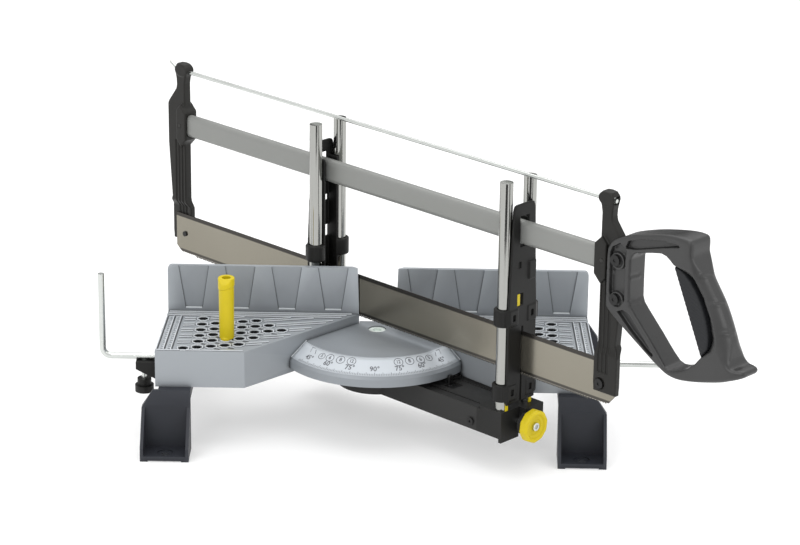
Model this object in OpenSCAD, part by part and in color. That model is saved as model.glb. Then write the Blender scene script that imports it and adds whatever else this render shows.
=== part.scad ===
/* [Tables and fences] */
// Length of each fence, inner end to outer end
fence_len = 180.2; // [150:0.1:230]
// Gap between the two fences at table level
fence_gap = 34.8; // [34.8:0.1:42]
// Height of the fences above the table
fence_h = 46; // [30:1:60]
// Thickness of the fences
fence_t = 5; // [4:0.5:6]
// Distance of the fence faces behind the pivot axis
fence_y = 15; // [12:0.1:15]
// Depth of the tables, fence face to front edge
table_depth = 101.9; // [95:0.1:105]
// Length of each table's front edge
front_edge = 81.8; // [60:0.1:100]
// How far each outer edge flares out towards the front
table_flare = 3.2; // [0:0.1:6]
// Height of the table surface above the bench
table_z = 94.7; // [94.7:0.1:96]
// Height of the table castings
table_h = 35.3; // [30:0.1:36]
// Wall thickness of the castings
wall = 4; // [3:0.5:5]
// Diameter of the peg holes
peg_hole_d = 9; // [8:0.1:10]

/* [Angle dial] */
// Radius of the dial's rim
dial_r = 92.8; // [91:0.1:96]
// Radius where the flat top ends and the sloping scale begins
dial_top_r = 72.5; // [68:0.5:76]
// Thickness of the dial's top
dial_t = 4; // [3:0.1:4.5]
// Depth of the dial's flat top below the table surface
dial_drop = 8.7; // [8.3:0.1:10]
// Depth of the rim's lower edge below the flat top
dial_fall = 21.9; // [20:0.1:22]
// Height of the rim
rim_h = 7.4; // [6:0.1:9]
// Diameter of the recess over the pivot bolt
pivot_hole_d = 16.6; // [15.5:0.1:20]

/* [Feet] */
// Distance of each foot's inner side from the centre line
foot_in = 168; // [168:1:175]
// Width of each foot at the bench
foot_w = 44.5; // [36:0.5:50]
// Distance of each foot's front edge from the pivot axis
foot_reach = 123; // [115:1:140]
// Length of the pads on the bench
pad_len = 27; // [24:1:30]
// Thickness of the foot walls
foot_wall = 3; // [2:0.5:4]
// Diameter of the bench bolt holes
bolt_hole_d = 7.4; // [5:0.1:8]

/* [Swing arm] */
// Angle of the saw from straight across, as drawn
saw_angle = 47; // [0:1:47]
// Distance of the front posts from the pivot axis
post_front = 172.5; // [165:0.5:180]
// Distance of the rear posts from the pivot axis
post_rear = 66.4; // [60:0.1:72]
// Spacing of the two posts of a pair
post_pitch = 31.4; // [31:0.1:33]
// Diameter of the posts
post_d = 12; // [10:0.1:12.4]
// Height of the post tops above the bench
post_top = 275.7; // [268:0.1:300]
// Width of the arm's channel
beam_w = 48; // [47:0.5:50]
// Height of the underside of the arm above the bench
beam_z = 35; // [32:0.5:38]
// Height of the arm's channel
beam_h = 22.7; // [20:0.1:23]
// Diameter of the pivot bolt
pivot_d = 12; // [10:0.5:13]
// Diameter of the lock knob
knob_d = 33; // [26:1:36]

/* [Saw] */
// Length of the blade
blade_len = 570; // [560:1:580]
// Width of the blade, back to teeth
blade_h = 40.5; // [36:0.1:41]
// Thickness of the blade over the set of its teeth
blade_t = 0.9; // [0.6:0.1:1]
// Height of the tooth tips above the bench, with the saw down
blade_z = 93.6; // [92:0.1:95]
// Offset of the middle of the blade in front of the pivot axis
blade_offset = 5.5; // [0:0.5:8]
// Height of the frame tube's middle
tube_z = 227.9; // [225:0.1:229]
// Height of the frame tube's section
tube_h = 22.3; // [18:0.1:22.5]
// Thickness of the frame tube
tube_w = 9.8; // [8:0.1:10]
// Height of the tension rod above the frame tube's middle
rod_rise = 53.9; // [52:0.1:58]
// Diameter of the tension rod
rod_d = 3.6; // [3:0.1:4]

/* [Handle] */
// Length of the handle
handle_l = 159; // [150:1:175]
// Height of the handle
handle_h = 131.5; // [125:0.5:140]
// Thickness of the handle's flat part
handle_t = 22; // [18:0.5:24]
// Width of the grip
grip_w = 29; // [26:0.5:34]
// Height of the handle's lowest edge
handle_z = 145.8; // [143:0.1:148]

/* [Length stop and peg] */
// Diameter of the length stop rod
stop_d = 6; // [5:0.5:6.5]
// Length of the rod, corner to free end
stop_len = 526; // [500:1:560]
// Height of the rod's upright end above its axis
stop_rise = 81; // [60:1:100]
// Height of the rod's axis above the bench
stop_z = 68.3; // [67.5:0.1:69]
// Distance of the rod in front of the pivot axis
stop_y = 34; // [31:0.1:36]
// Diameter of the cam peg
peg_d = 15.6; // [14:0.1:18]
// Height of the cam peg above the table
peg_h = 64.5; // [40:0.5:80]

/* [Hidden] */

// Fits and cuts
run = 0.05;
gap = 0.3;
seat = 0.1;
over = 1;
$fn = 48;

// Colours of the materials
alloy = [0.62, 0.64, 0.66];
dark = [0.17, 0.17, 0.18];
grey = [0.32, 0.32, 0.33];
steel = [0.75, 0.75, 0.72];
chrome = [0.85, 0.86, 0.88];
yellow = [0.85, 0.75, 0.1];

// Levels and stations that several pieces share
in_x = fence_gap / 2;
out_x = in_x + fence_len;
front_y = fence_y - table_depth;
corner_x = out_x + table_flare - front_edge;
table_bottom = table_z - table_h;
dial_z = table_z - dial_drop;
dial_bottom = dial_z - dial_fall;
beam_top = beam_z + beam_h;
post_t = post_pitch / 2;
beam_wall = 3;
foot_out = foot_in + foot_w;
blade_top = blade_z + blade_h;
blade_front = blade_offset + blade_len / 2;
blade_rear = blade_offset - blade_len / 2;
rod_z = tube_z + rod_rise;

function unit(v) = v / norm(v);
function turned(v) = [-v.y, v.x];
// Moves every edge of a counter-clockwise outline inwards by w
function inset(p, w) = [
    for (i = [0:len(p) - 1])
        let (
            a = p[(i + len(p) - 1) % len(p)],
            b = p[i],
            c = p[(i + 1) % len(p)],
            n1 = turned(unit(b - a)),
            n2 = turned(unit(c - b))
        )
        b + (n1 + n2) * w / (1 + n1 * n2)
];
function arc(c, r, a0, a1, n) = [
    for (i = [0:n])
        let (a = a0 + (a1 - a0) * i / n)
        c + r * [cos(a), sin(a)]
];
function scaled(p, w, h) = [for (q = p) [q.x * w, q.y * h]];

module along_saw() {
    rotate([0, 0, saw_angle - 90]) children();
}
// Extrudes a shape drawn in length and height, centred across
module upright(t) {
    translate([0, t / 2, 0]) rotate([90, 0, 0]) linear_extrude(t) children();
}
// Extrudes a shape drawn across and in height, along x
module lengthways(l) {
    rotate([90, 0, 90]) linear_extrude(l) children();
}
module ring(od, id, h) {
    difference() {
        cylinder(d = od, h = h);
        translate([0, 0, -over]) cylinder(d = id, h = h + 2 * over);
    }
}
module hex(af, h) {
    cylinder(d = af / cos(30), h = h, $fn = 6);
}
module both_sides() {
    children();
    mirror([1, 0, 0]) children();
}
module both_ends() {
    children();
    mirror([0, 1, 0]) children();
}
module rounded(w, h, r) {
    translate([r, 0]) square([w - 2 * r, h]);
    translate([0, r]) square([w, h - 2 * r]);
    for (x = [r, w - r]) {
        for (y = [r, h - r]) {
            translate([x, y]) circle(r);
        }
    }
}

// Table castings: a hollow box, open below, with its fence along the back
fence_back = fence_y + fence_t;
chamfer_angle = 52;
fence_lean = 1.6;
fence_corner = 4;
chamfer_in = 0.3;
groove_count = 4;
groove_start = 42;
groove_pitch = 43.7;
groove_wide = 28.4;
groove_low = 15.5;
groove_foot = 4;
groove_depth = 0.8;
boss_d = 11;
pilot_d = 4;
foot_screw_in = 22;
foot_screw_ys = [front_y + foot_screw_in, fence_y - foot_screw_in];
foot_x = foot_in + foot_w / 2;
foot_boss_x = foot_x - boss_d / 2;
bridge_x = 62;
bridge_y = -8;
bridge_boss_d = 11;
bridge_t = 3.5;
stop_hole_d = stop_d + 2 * gap;
peg_col = 12.5;
peg_row = 14.6;
peg_skew = 2.8;
peg_x = 163;
peg_y = -4.5;
// Columns of peg holes: column number, first row, last row
peg_columns = [[-1, 5, 5], [0, 0, 5], [1, 1, 5], [2, 1, 5], [3, 1, 5], [4, 1, 4], [5, 2, 3], [6, 3, 3]];
function peg_place(i, j) = [peg_x - i * peg_col, peg_y - j * peg_row + i * peg_skew];

function table_outline() = [
    [in_x, fence_y],
    [corner_x, front_y],
    [out_x + table_flare, front_y],
    [out_x, fence_y]
];
module table_bosses(d) {
    for (y = foot_screw_ys) {
        translate([foot_boss_x, y, table_bottom]) cylinder(d = d, h = table_h - wall / 2);
    }
}
module bridge_bosses(d) {
    translate([bridge_x, bridge_y, table_bottom + bridge_t]) {
        cylinder(d = d, h = table_h - bridge_t - wall / 2);
    }
}
// Front view of a fence and the wall below it
function fence_view() = concat(
    [[in_x, table_bottom], [out_x, table_bottom]],
    arc([out_x - fence_corner, table_z + fence_h - fence_corner], fence_corner, 0, 90, 6),
    [[in_x + fence_lean, table_z + fence_h], [in_x, table_z]]
);
module fence() {
    difference() {
        translate([0, fence_back, 0]) rotate([90, 0, 0]) linear_extrude(fence_t) polygon(fence_view());
        // The inner end is cut back so that the blade passes at its full angle
        translate([0, 0, table_bottom - over]) linear_extrude(table_h + fence_h + 2 * over) polygon([
            [in_x + chamfer_in - over * tan(chamfer_angle), fence_y - over],
            [in_x + chamfer_in + (fence_t + over) * tan(chamfer_angle), fence_back + over],
            [-in_x, fence_back + over],
            [-in_x, fence_y - over]
        ]);
        // Shallow grooves that narrow downwards
        for (k = [0:groove_count - 1]) {
            translate([groove_start + k * groove_pitch, fence_y + groove_depth, table_z]) {
                rotate([90, 0, 0]) linear_extrude(groove_depth + over) polygon([
                    [-groove_low / 2, groove_foot],
                    [groove_low / 2, groove_foot],
                    [groove_wide / 2, fence_h + over],
                    [-groove_wide / 2, fence_h + over]
                ]);
            }
        }
    }
}
module table() {
    difference() {
        union() {
            translate([0, 0, table_bottom]) linear_extrude(table_h - wall) difference() {
                polygon(table_outline());
                polygon(inset(table_outline(), wall));
            }
            translate([0, 0, table_z - wall]) linear_extrude(wall) difference() {
                polygon(table_outline());
                for (c = peg_columns) {
                    for (j = [c[1]:c[2]]) {
                        translate(peg_place(c[0], j)) circle(d = peg_hole_d);
                    }
                }
            }
            table_bosses(boss_d);
            bridge_bosses(bridge_boss_d);
            fence();
        }
        table_bosses(pilot_d);
        bridge_bosses(pilot_d);
        translate([0, -stop_y, stop_z]) rotate([0, 90, 0]) cylinder(d = stop_hole_d, h = out_x + table_flare + over);
        // Room for the cross member where it enters below the inner wall
        translate([0, bridge_from, table_bottom - over]) {
            cube([bridge_x + bridge_end, bridge_to - bridge_from, bridge_t + seat + over]);
        }
    }
}
module left_table() {
    color(alloy) mirror([1, 0, 0]) table();
}
module right_table() {
    color(alloy) table();
}

// Dial: a hollow casting that fills the corner between the tables
dial_edge_gap = 0.2;
dial_hub_d = 28;
dial_slope = (corner_x - in_x) / table_depth;
rim_t = 7;
rim_bevel_in = 1.5;
rim_bevel_h = 2.8;
shell_in = 1.3;
shell_rise = 1;
bridge_from = -24;
bridge_to = 10;
bridge_end = 10;
function dial_half() = [
    [-over, fence_back],
    [in_x - dial_edge_gap, fence_back],
    [in_x - dial_edge_gap, fence_y],
    [in_x - dial_edge_gap + dial_slope * (fence_y + dial_r), -dial_r],
    [-over, -dial_r - over]
];
// Section of the dial from the pivot axis outwards
function dial_section() = [
    [0, dial_z],
    [dial_top_r, dial_z],
    [dial_r - rim_bevel_in, dial_bottom + rim_h + rim_bevel_h],
    [dial_r, dial_bottom + rim_h],
    [dial_r, dial_bottom],
    [dial_r - rim_t, dial_bottom],
    [dial_r - rim_t, dial_bottom + rim_h + shell_rise],
    [dial_top_r - shell_in, dial_z - dial_t],
    [0, dial_z - dial_t]
];
module dial_plate() {
    color(alloy) difference() {
        union() {
            intersection() {
                rotate_extrude($fn = 240) polygon(dial_section());
                translate([0, 0, dial_bottom - over]) linear_extrude(dial_fall + 2 * over) {
                    both_sides() polygon(dial_half());
                }
            }
            // The hub that sits on the cross member
            translate([0, 0, table_bottom + bridge_t]) {
                cylinder(d = dial_hub_d, h = dial_z - dial_t / 2 - table_bottom - bridge_t);
            }
        }
        translate([0, 0, dial_z - bolt_head_h - seat - over]) cylinder(d = pivot_hole_d, h = bolt_head_h + 2 * over);
        translate([0, 0, table_bottom]) cylinder(d = pivot_d + 2 * run, h = table_h);
        for (x = [-1, 1]) {
            for (a = detent_angles) {
                rotate([0, 0, x * a + detent_off]) translate([0, -detent_s, dial_bottom]) sphere(d = ball_d);
            }
        }
    }
}

// Cross member under the dial, screwed to both tables
module cross_member() {
    color(dark) difference() {
        translate([-bridge_x - bridge_end + gap, bridge_from + gap, table_bottom]) {
            cube([2 * (bridge_x + bridge_end - gap), bridge_to - bridge_from - 2 * gap, bridge_t]);
        }
        translate([0, 0, table_bottom - over]) cylinder(d = pivot_d + 2 * run, h = bridge_t + 2 * over);
        both_sides() translate([bridge_x, bridge_y, table_bottom - over]) {
            cylinder(d = pilot_d + 2 * seat, h = bridge_t + 2 * over);
        }
    }
}
screw_head_d = 7.6;
screw_head_h = 1.5;
screw_len = 14;
module pan_screw(l) {
    cylinder(d = pilot_d - 2 * run, h = l);
    mirror([0, 0, 1]) difference() {
        cylinder(d = screw_head_d, h = screw_head_h);
        translate([0, 0, screw_head_h / 2]) cylinder(d = screw_head_d / 3, h = screw_head_h);
    }
}
module bridge_screws() {
    color(steel) both_sides() translate([bridge_x, bridge_y, table_bottom]) pan_screw(screw_len);
}

// Feet: a channel bar under each table that ends in a leg and a pad at both ends
web_y = foot_reach - pad_len;
pad_z = 1;
pad_t = 4;
flange_low = 12;
flange_mid = 44;
flange_step = 3.5;
lip = 9;
top_in = 10;
nub = 7;
hole_from_edge = 10.5;
bolt_y = foot_reach - hole_from_edge;
recess_d = 15;
recess_depth = 1.5;
under_d = 17;
module leg_side() {
    polygon([
        [-foot_reach, pad_z],
        [-foot_reach, flange_low],
        [-web_y - flange_step, flange_mid],
        [-web_y, table_bottom],
        [-web_y + foot_wall, table_bottom],
        [-web_y + foot_wall, pad_z]
    ]);
}
function foot_front() = [
    [foot_in, pad_z],
    [foot_out, pad_z],
    [foot_out, flange_mid],
    [foot_out - top_in, table_bottom],
    [foot_in, table_bottom]
];
module foot() {
    difference() {
        union() {
            both_ends() intersection() {
                translate([foot_in, 0, 0]) lengthways(foot_w) leg_side();
                rotate([90, 0, 0]) linear_extrude(foot_reach) polygon(foot_front());
            }
            translate([foot_in, -web_y + seat, table_bottom - lip]) {
                cube([out_x - foot_in, 2 * (web_y - seat), lip]);
            }
            both_ends() {
                for (x = [foot_in, foot_out - nub]) {
                    translate([x, -foot_reach, 0]) cube([nub, nub, pad_z]);
                }
                translate([foot_x, -bolt_y, 0]) cylinder(d = under_d, h = pad_z + pad_t);
            }
        }
        // The hollow of the front channel, open towards the user
        both_ends() intersection() {
            translate([0, 0, pad_z + pad_t]) rotate([90, 0, 0]) linear_extrude(foot_reach + over) {
                translate([0, -pad_z - pad_t]) polygon(inset(foot_front(), foot_wall));
            }
            translate([foot_in, -foot_reach - over, pad_z + pad_t]) {
                cube([foot_w, pad_len + over - foot_wall, table_bottom]);
            }
        }
        // The hollow of the bar under the table
        translate([foot_in + foot_wall, -web_y + foot_wall, 0]) {
            cube([out_x - foot_in - 2 * foot_wall, 2 * (web_y - foot_wall), table_bottom - foot_wall]);
        }
        both_ends() translate([foot_x, -bolt_y, 0]) {
            translate([0, 0, -over]) cylinder(d = bolt_hole_d, h = pad_z + pad_t + 2 * over);
            translate([0, 0, pad_z + pad_t - recess_depth]) cylinder(d = recess_d, h = recess_depth + over);
        }
        for (y = foot_screw_ys) {
            translate([foot_boss_x, y, 0]) cylinder(d = pilot_d + 2 * seat, h = table_z);
        }
    }
}
module left_foot() {
    color(dark) mirror([1, 0, 0]) foot();
}
module right_foot() {
    color(dark) foot();
}
module foot_screws() {
    color(steel) both_sides() {
        for (y = foot_screw_ys) {
            translate([foot_boss_x, y, table_bottom - foot_wall]) pan_screw(screw_len);
        }
    }
}

// Pivot: a bolt through dial, cross member and arm
bolt_head_h = 4;
bolt_head_d = pivot_hole_d - 2 * gap;
nut_af = 18;
nut_h = 6.5;
washer_t = 1.6;
washer_d = 24;
bolt_tip = 2.5;
head_drop = 1;
bolt_under = dial_z - head_drop - bolt_head_h;
pivot_end = beam_z - washer_t - nut_h - bolt_tip;
module pivot_bolt() {
    color(steel) difference() {
        union() {
            translate([0, 0, pivot_end]) cylinder(d = pivot_d, h = bolt_under - pivot_end + seat);
            translate([0, 0, bolt_under]) cylinder(d = bolt_head_d, h = bolt_head_h);
        }
        translate([0, 0, bolt_under + bolt_head_h / 2]) hex(bolt_head_d / 2, bolt_head_h);
    }
}
module pivot_washer() {
    color(steel) translate([0, 0, beam_z - washer_t - seat]) ring(washer_d, pivot_d + 2 * run, washer_t);
}
module pivot_nut() {
    color(steel) translate([0, 0, beam_z - washer_t - nut_h - seat]) difference() {
        hex(nut_af, nut_h);
        translate([0, 0, -over]) cylinder(d = pivot_d + 2 * run, h = nut_h + 2 * over);
    }
}

// Length stop: a bent rod through both tables, with its clamp
bend_r = 8;
bracket_w = 16;
bracket_out = 22.5;
bracket_h = 13;
bracket_top = stop_z - stop_d / 2 - gap;
bracket_arm = 6;
stud_d = 4.8;
stud_from_edge = 7;
knob_top_d = 13;
knob_low_d = 17.5;
knob_tier = 6.4;
stud_len = 31;
bracket_x = -out_x - table_flare;
side_x = -out_x - table_flare * (fence_y + stop_y) / table_depth;
stud_x = bracket_x - bracket_out + stud_from_edge;
stop_corner_x = -254.5;
screw_in_wall = 10;
module stop_bracket() {
    color(dark) difference() {
        union() {
            translate([0, bracket_w / 2 - stop_y, 0]) rotate([90, 0, 0]) linear_extrude(bracket_w) polygon([
                [side_x - gap, bracket_top],
                [bracket_x - bracket_out, bracket_top],
                [bracket_x - bracket_out, bracket_top - bracket_h + bracket_arm],
                [bracket_x - bracket_out / 2, bracket_top - bracket_h],
                [side_x - gap, bracket_top - bracket_h - bracket_arm]
            ]);
        }
        translate([stud_x, -stop_y, 0]) cylinder(d = stud_d + 2 * run, h = table_z);
        translate([side_x - screw_in_wall - over, -stop_y, bracket_screw_z]) rotate([0, 90, 0]) {
            cylinder(d = pilot_d, h = screw_in_wall + 2 * over);
        }
    }
}
bracket_screw_z = table_bottom + 2;
module bracket_screw() {
    color(steel) translate([side_x - screw_in_wall + gap, -stop_y, bracket_screw_z]) rotate([0, 90, 0]) {
        cylinder(d = pilot_d - 2 * run, h = screw_in_wall - 2 * gap);
    }
}
module stop_rod() {
    color(steel) translate([stop_corner_x, -stop_y, stop_z]) {
        translate([bend_r, 0, 0]) rotate([0, 90, 0]) cylinder(d = stop_d, h = stop_len - bend_r);
        translate([0, 0, bend_r]) cylinder(d = stop_d, h = stop_rise - bend_r);
        translate([bend_r, 0, bend_r]) rotate([90, 0, 0]) rotate([0, 0, 180]) {
            rotate_extrude(angle = 90) translate([bend_r, 0]) circle(d = stop_d);
        }
    }
}
knob_below = 34.6;
knob_z = stop_z - knob_below;
module stop_stud() {
    color(steel) translate([stud_x, -stop_y, stop_z - stop_d / 2 - gap / 2 - stud_len]) {
        cylinder(d = stud_d, h = stud_len);
    }
}
module stop_knob() {
    color(dark) translate([stud_x, -stop_y, knob_z]) difference() {
        union() {
            cylinder(d = knob_low_d, h = knob_tier);
            cylinder(d = knob_top_d, h = 2 * knob_tier);
        }
        cylinder(d = stud_d, h = 3 * knob_tier);
    }
}

// Cam peg: its pin sits in a hole and its body is off centre, so a turn clamps the work
peg_cam = 3.2;
peg_cam_angle = 52;
peg_head_d = 16.8;
peg_head_h = 12;
peg_bore = 10;
peg_bore_h = 50;
pin_h = 10;
peg_slot = 3;
module cam_peg() {
    color(yellow) translate([-peg_place(2, 4).x, peg_place(2, 4).y, table_z]) {
        translate([0, 0, -pin_h]) cylinder(d = peg_hole_d - 2 * run, h = pin_h + gap + seat);
        rotate([0, 0, peg_cam_angle]) translate([peg_cam, 0, gap]) difference() {
            union() {
                cylinder(d = peg_d, h = peg_h - gap);
                translate([0, 0, peg_h - peg_head_h]) cylinder(d = peg_head_d, h = peg_head_h - gap);
            }
            translate([0, 0, peg_h - peg_bore_h]) cylinder(d = peg_bore, h = peg_bore_h + over);
            translate([0, -peg_d, peg_h - gap]) rotate([0, peg_head_tilt, 0]) cube([peg_d, 2 * peg_d, peg_slot]);
        }
    }
}
peg_head_tilt = 18;

// Swing arm: a channel under the dial, with a round hub on the pivot
beam_rear = 20;
beam_front = 10;
hub_d = 76;
bush_d = 18;
cap_top = 60.7;
cap_len = 30;
cap_out = 7.5;
cap_low = 3.6;
tab_w = 24;
lock_boss = 8;
cap_screw_z = beam_z + beam_h / 3;
arm_rear = -post_rear - beam_rear;
arm_front = post_front - cap_len + cap_out;
beam_grooves = [-0.3, 0.3];
groove = 1.2;
module channel(l) {
    lengthways(l) difference() {
        translate([-beam_w / 2, beam_z]) square([beam_w, beam_h]);
        translate([-beam_w / 2 + beam_wall, beam_z - over]) square([beam_w - 2 * beam_wall, beam_h - beam_wall + over]);
    }
}
module posts_cut(s) {
    for (t = [-post_t, post_t]) {
        translate([s, t, beam_z - over]) cylinder(d = post_d + 2 * run, h = table_z);
    }
}
module arm_beam() {
    color(dark) along_saw() difference() {
        union() {
            translate([arm_rear, 0, 0]) channel(arm_front - arm_rear);
            translate([0, 0, beam_z]) cylinder(d = hub_d, h = beam_h);
            for (t = [-post_t, post_t]) {
                translate([-post_rear, t, beam_z]) cylinder(d = post_d + 2 * beam_wall - seat, h = beam_h);
            }
            translate([lock_s - lock_l / 2 - beam_wall, -beam_w / 2, beam_top - lock_h - beam_wall]) {
                cube([lock_l + 2 * beam_wall, beam_w, lock_h + beam_wall]);
            }
        }
        translate([0, 0, beam_z - over]) cylinder(d = bush_d, h = beam_h + 2 * over);
        posts_cut(-post_rear);
        rotate([0, 0, detent_off]) translate([detent_s, 0, beam_top - detent_seat]) {
            cylinder(d = housing_d + 2 * run, h = detent_seat + over);
        }
        translate([lock_s - lock_l / 2, -lock_w / 2, beam_top - lock_h]) cube([lock_l, lock_w, lock_h + over]);
        translate([lock_s - lock_l, 0, lock_z]) rotate([0, 90, 0]) cylinder(d = spindle_d + 2 * gap, h = arm_front);
        cap_screw_cut(arm_front - cap_plug / 2);
        cap_screw_cut(arm_rear + rear_plug / 2);
        for (k = beam_grooves) {
            translate([hub_d / 2 + beam_front, k * beam_w - groove / 2, beam_top - groove]) {
                cube([arm_front, groove, groove + over]);
            }
        }
    }
}
module pivot_bush() {
    color(grey) translate([0, 0, beam_z]) ring(bush_d - 2 * run, pivot_d + 2 * run, beam_h);
}
module thrust_washer() {
    color(grey) translate([0, 0, beam_top + seat]) {
        ring(hub_d / 2, pivot_d + 2 * run, table_bottom - beam_top - 2 * seat);
    }
}
cap_plug = 14;
cap_nose = 4.5;
cap_clear = 0.2;
module front_end_cap() {
    color(dark) along_saw() difference() {
        union() {
            translate([arm_front, -beam_w / 2, beam_z]) cube([cap_len, beam_w, beam_h]);
            translate([arm_front, 0, beam_z]) linear_extrude(cap_top - beam_z) polygon([
                [0, cap_nose - beam_w / 2],
                [cap_nose, -beam_w / 2],
                [cap_len, -beam_w / 2],
                [cap_len, beam_w / 2],
                [cap_nose, beam_w / 2],
                [0, beam_w / 2 - cap_nose]
            ]);
            translate([arm_front + cap_len - foot_wall, -beam_w / 2, beam_z - cap_low]) cube([foot_wall, tab_w, cap_low + over]);
            translate([arm_front + cap_len, -seat, beam_z]) cube([lock_boss, beam_w / 2, cap_top - beam_z]);
            translate([arm_front - cap_plug, -beam_w / 2 + beam_wall + cap_clear, beam_z]) {
                cube([cap_plug + over, beam_w - 2 * beam_wall - 2 * cap_clear, beam_h - beam_wall - cap_clear]);
            }
        }
        posts_cut(post_front);
        translate([arm_front - cap_plug - over, 0, lock_z]) rotate([0, 90, 0]) {
            cylinder(d = spindle_d + 2 * run, h = cap_plug + cap_len + lock_boss + 2 * over);
        }
        cap_screw_cut(arm_front - cap_plug / 2);
    }
}
module cap_screw_cut(s) {
    translate([s, beam_w, cap_screw_z]) rotate([90, 0, 0]) cylinder(d = pilot_d, h = 2 * beam_w);
}
module rear_end_cap() {
    color(dark) along_saw() difference() {
        union() {
            translate([arm_rear - foot_wall, -beam_w / 2, beam_z]) cube([foot_wall, beam_w, beam_h]);
            translate([arm_rear - over, -beam_w / 2 + beam_wall + cap_clear, beam_z]) {
                cube([rear_plug + over, beam_w - 2 * beam_wall - 2 * cap_clear, beam_h - beam_wall - cap_clear]);
            }
        }
        cap_screw_cut(arm_rear + rear_plug / 2);
    }
}
rear_plug = 9;
module cap_screws() {
    color(steel) along_saw() {
        for (s = [arm_front - cap_plug / 2, arm_rear + rear_plug / 2]) {
            for (m = [0, 1]) {
                mirror([0, m, 0]) translate([s, -beam_w / 2, cap_screw_z]) rotate([-90, 0, 0]) pan_screw(cap_plug / 2);
            }
        }
    }
}

// Guide posts and the stops that the lower collars rest on
post_foot = 1;
module post(s, t, z0) {
    color(chrome) along_saw() translate([s, t, z0]) cylinder(d = post_d, h = post_top - z0);
}
module front_left_post() {
    post(post_front, -post_t, beam_z + post_foot);
}
module front_right_post() {
    post(post_front, post_t, beam_z + post_foot);
}
module rear_left_post() {
    post(-post_rear, -post_t, beam_z + post_foot);
}
module rear_right_post() {
    post(-post_rear, post_t, beam_z + post_foot);
}
stop_clip_d = 15;
stop_clip_w = 5;
stop_clip_open = 4.6;
module post_stops() {
    color(yellow) along_saw() {
        for (e = [[post_front, cap_top, 0], [-post_rear, beam_top, 180]]) {
            for (t = [-post_t, post_t]) {
                translate([e[0], t, e[1]]) rotate([0, 0, e[2]]) difference() {
                    union() {
                        cylinder(d = stop_clip_d, h = guide_low - gap - e[1]);
                        translate([-stop_clip_w / 2, -stop_clip_d / 2 - seat, 0]) {
                            cube([stop_clip_w, stop_clip_d + 2 * seat, guide_low - gap - e[1]]);
                        }
                    }
                    translate([0, 0, -over]) cylinder(d = post_d + 2 * run, h = table_z);
                    translate([stop_clip_open, -stop_clip_d, -over]) cube([stop_clip_d, 2 * stop_clip_d, table_z]);
                }
            }
        }
    }
}

// Detent: a sprung ball under the dial's rim that drops into hollows at the usual angles
detent_s = dial_r - rim_t / 2;
detent_off = 9;
detent_angles = [0, 15, 22.5, 30, 36, 45];
ball_d = 6;
housing_d = 10;
detent_seat = 12;
housing_top = dial_bottom - 3;
housing_z = beam_top - detent_seat;
spring_wire = 0.8;
spring_turns = 6;
module detent_housing() {
    color(steel) along_saw() rotate([0, 0, detent_off]) translate([detent_s, 0, housing_z]) difference() {
        cylinder(d = housing_d, h = housing_top - housing_z);
        translate([0, 0, beam_wall]) cylinder(d = ball_d + 2 * run, h = table_z);
    }
}
ball_z = dial_bottom - gap - ball_d / 2;
spring_z = housing_z + beam_wall + seat;
spring_l = ball_z - ball_d / 2 - seat - spring_z;
module detent_spring() {
    color(steel) along_saw() rotate([0, 0, detent_off]) translate([detent_s, 0, spring_z]) {
        ring(ball_d - 2 * seat, ball_d - 2 * seat - 2 * spring_wire, spring_l);
    }
}
module detent_ball() {
    color(chrome) along_saw() rotate([0, 0, detent_off]) translate([detent_s, 0, ball_z]) sphere(d = ball_d);
}

// Angle lock: the knob turns a spindle that draws the shoe against the dial's rim
lock_l = 12;
lock_s = dial_r + gap + lock_l / 2;
lock_w = 14;
lock_edge = 1;
lock_h = 14;
lock_z = 47;
spindle_d = 6;
knob_t = 9;
knob_hub = 11;
knob_s = arm_front + cap_len + lock_boss + gap;
knob_dish = 3;
knob_facets = 10;
knob_screw_d = 7;
spindle_end = 4;
module lock_shoe() {
    color(steel) along_saw() difference() {
        translate([lock_s - lock_l / 2 + seat, -lock_w / 2 + seat, beam_top - lock_h + seat]) {
            cube([lock_l - 2 * seat, lock_w - 2 * seat, dial_bottom + rim_h - lock_edge - beam_top + lock_h]);
        }
        translate([lock_s - lock_l, 0, lock_z]) rotate([0, 90, 0]) cylinder(d = spindle_d + 2 * run, h = 2 * lock_l);
    }
}
module lock_spindle() {
    color(steel) along_saw() translate([lock_s - lock_l / 2 - spindle_end, 0, lock_z]) rotate([0, 90, 0]) {
        cylinder(d = spindle_d, h = knob_s + knob_t / 2 - lock_s + lock_l / 2 + spindle_end);
    }
}
module lock_knob() {
    color(yellow) along_saw() translate([knob_s, 0, lock_z]) rotate([0, 90, 0]) difference() {
        union() {
            intersection() {
                cylinder(d = knob_d, h = knob_t);
                cylinder(d = knob_d / cos(180 / knob_facets) - knob_dish, h = knob_t, $fn = knob_facets);
            }
        }
        translate([0, 0, knob_t - knob_dish]) cylinder(d = knob_d - 3 * knob_dish, h = knob_dish + over);
        translate([0, 0, -over]) cylinder(d = spindle_d, h = knob_t / 2 + over);
    }
}
module knob_screw() {
    color(steel) along_saw() translate([knob_s + knob_t - knob_dish, 0, lock_z]) rotate([0, 90, 0]) difference() {
        cylinder(d = knob_screw_d, h = knob_dish);
        translate([0, 0, knob_dish / 2]) hex(knob_screw_d / 2, knob_dish);
    }
}

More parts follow.
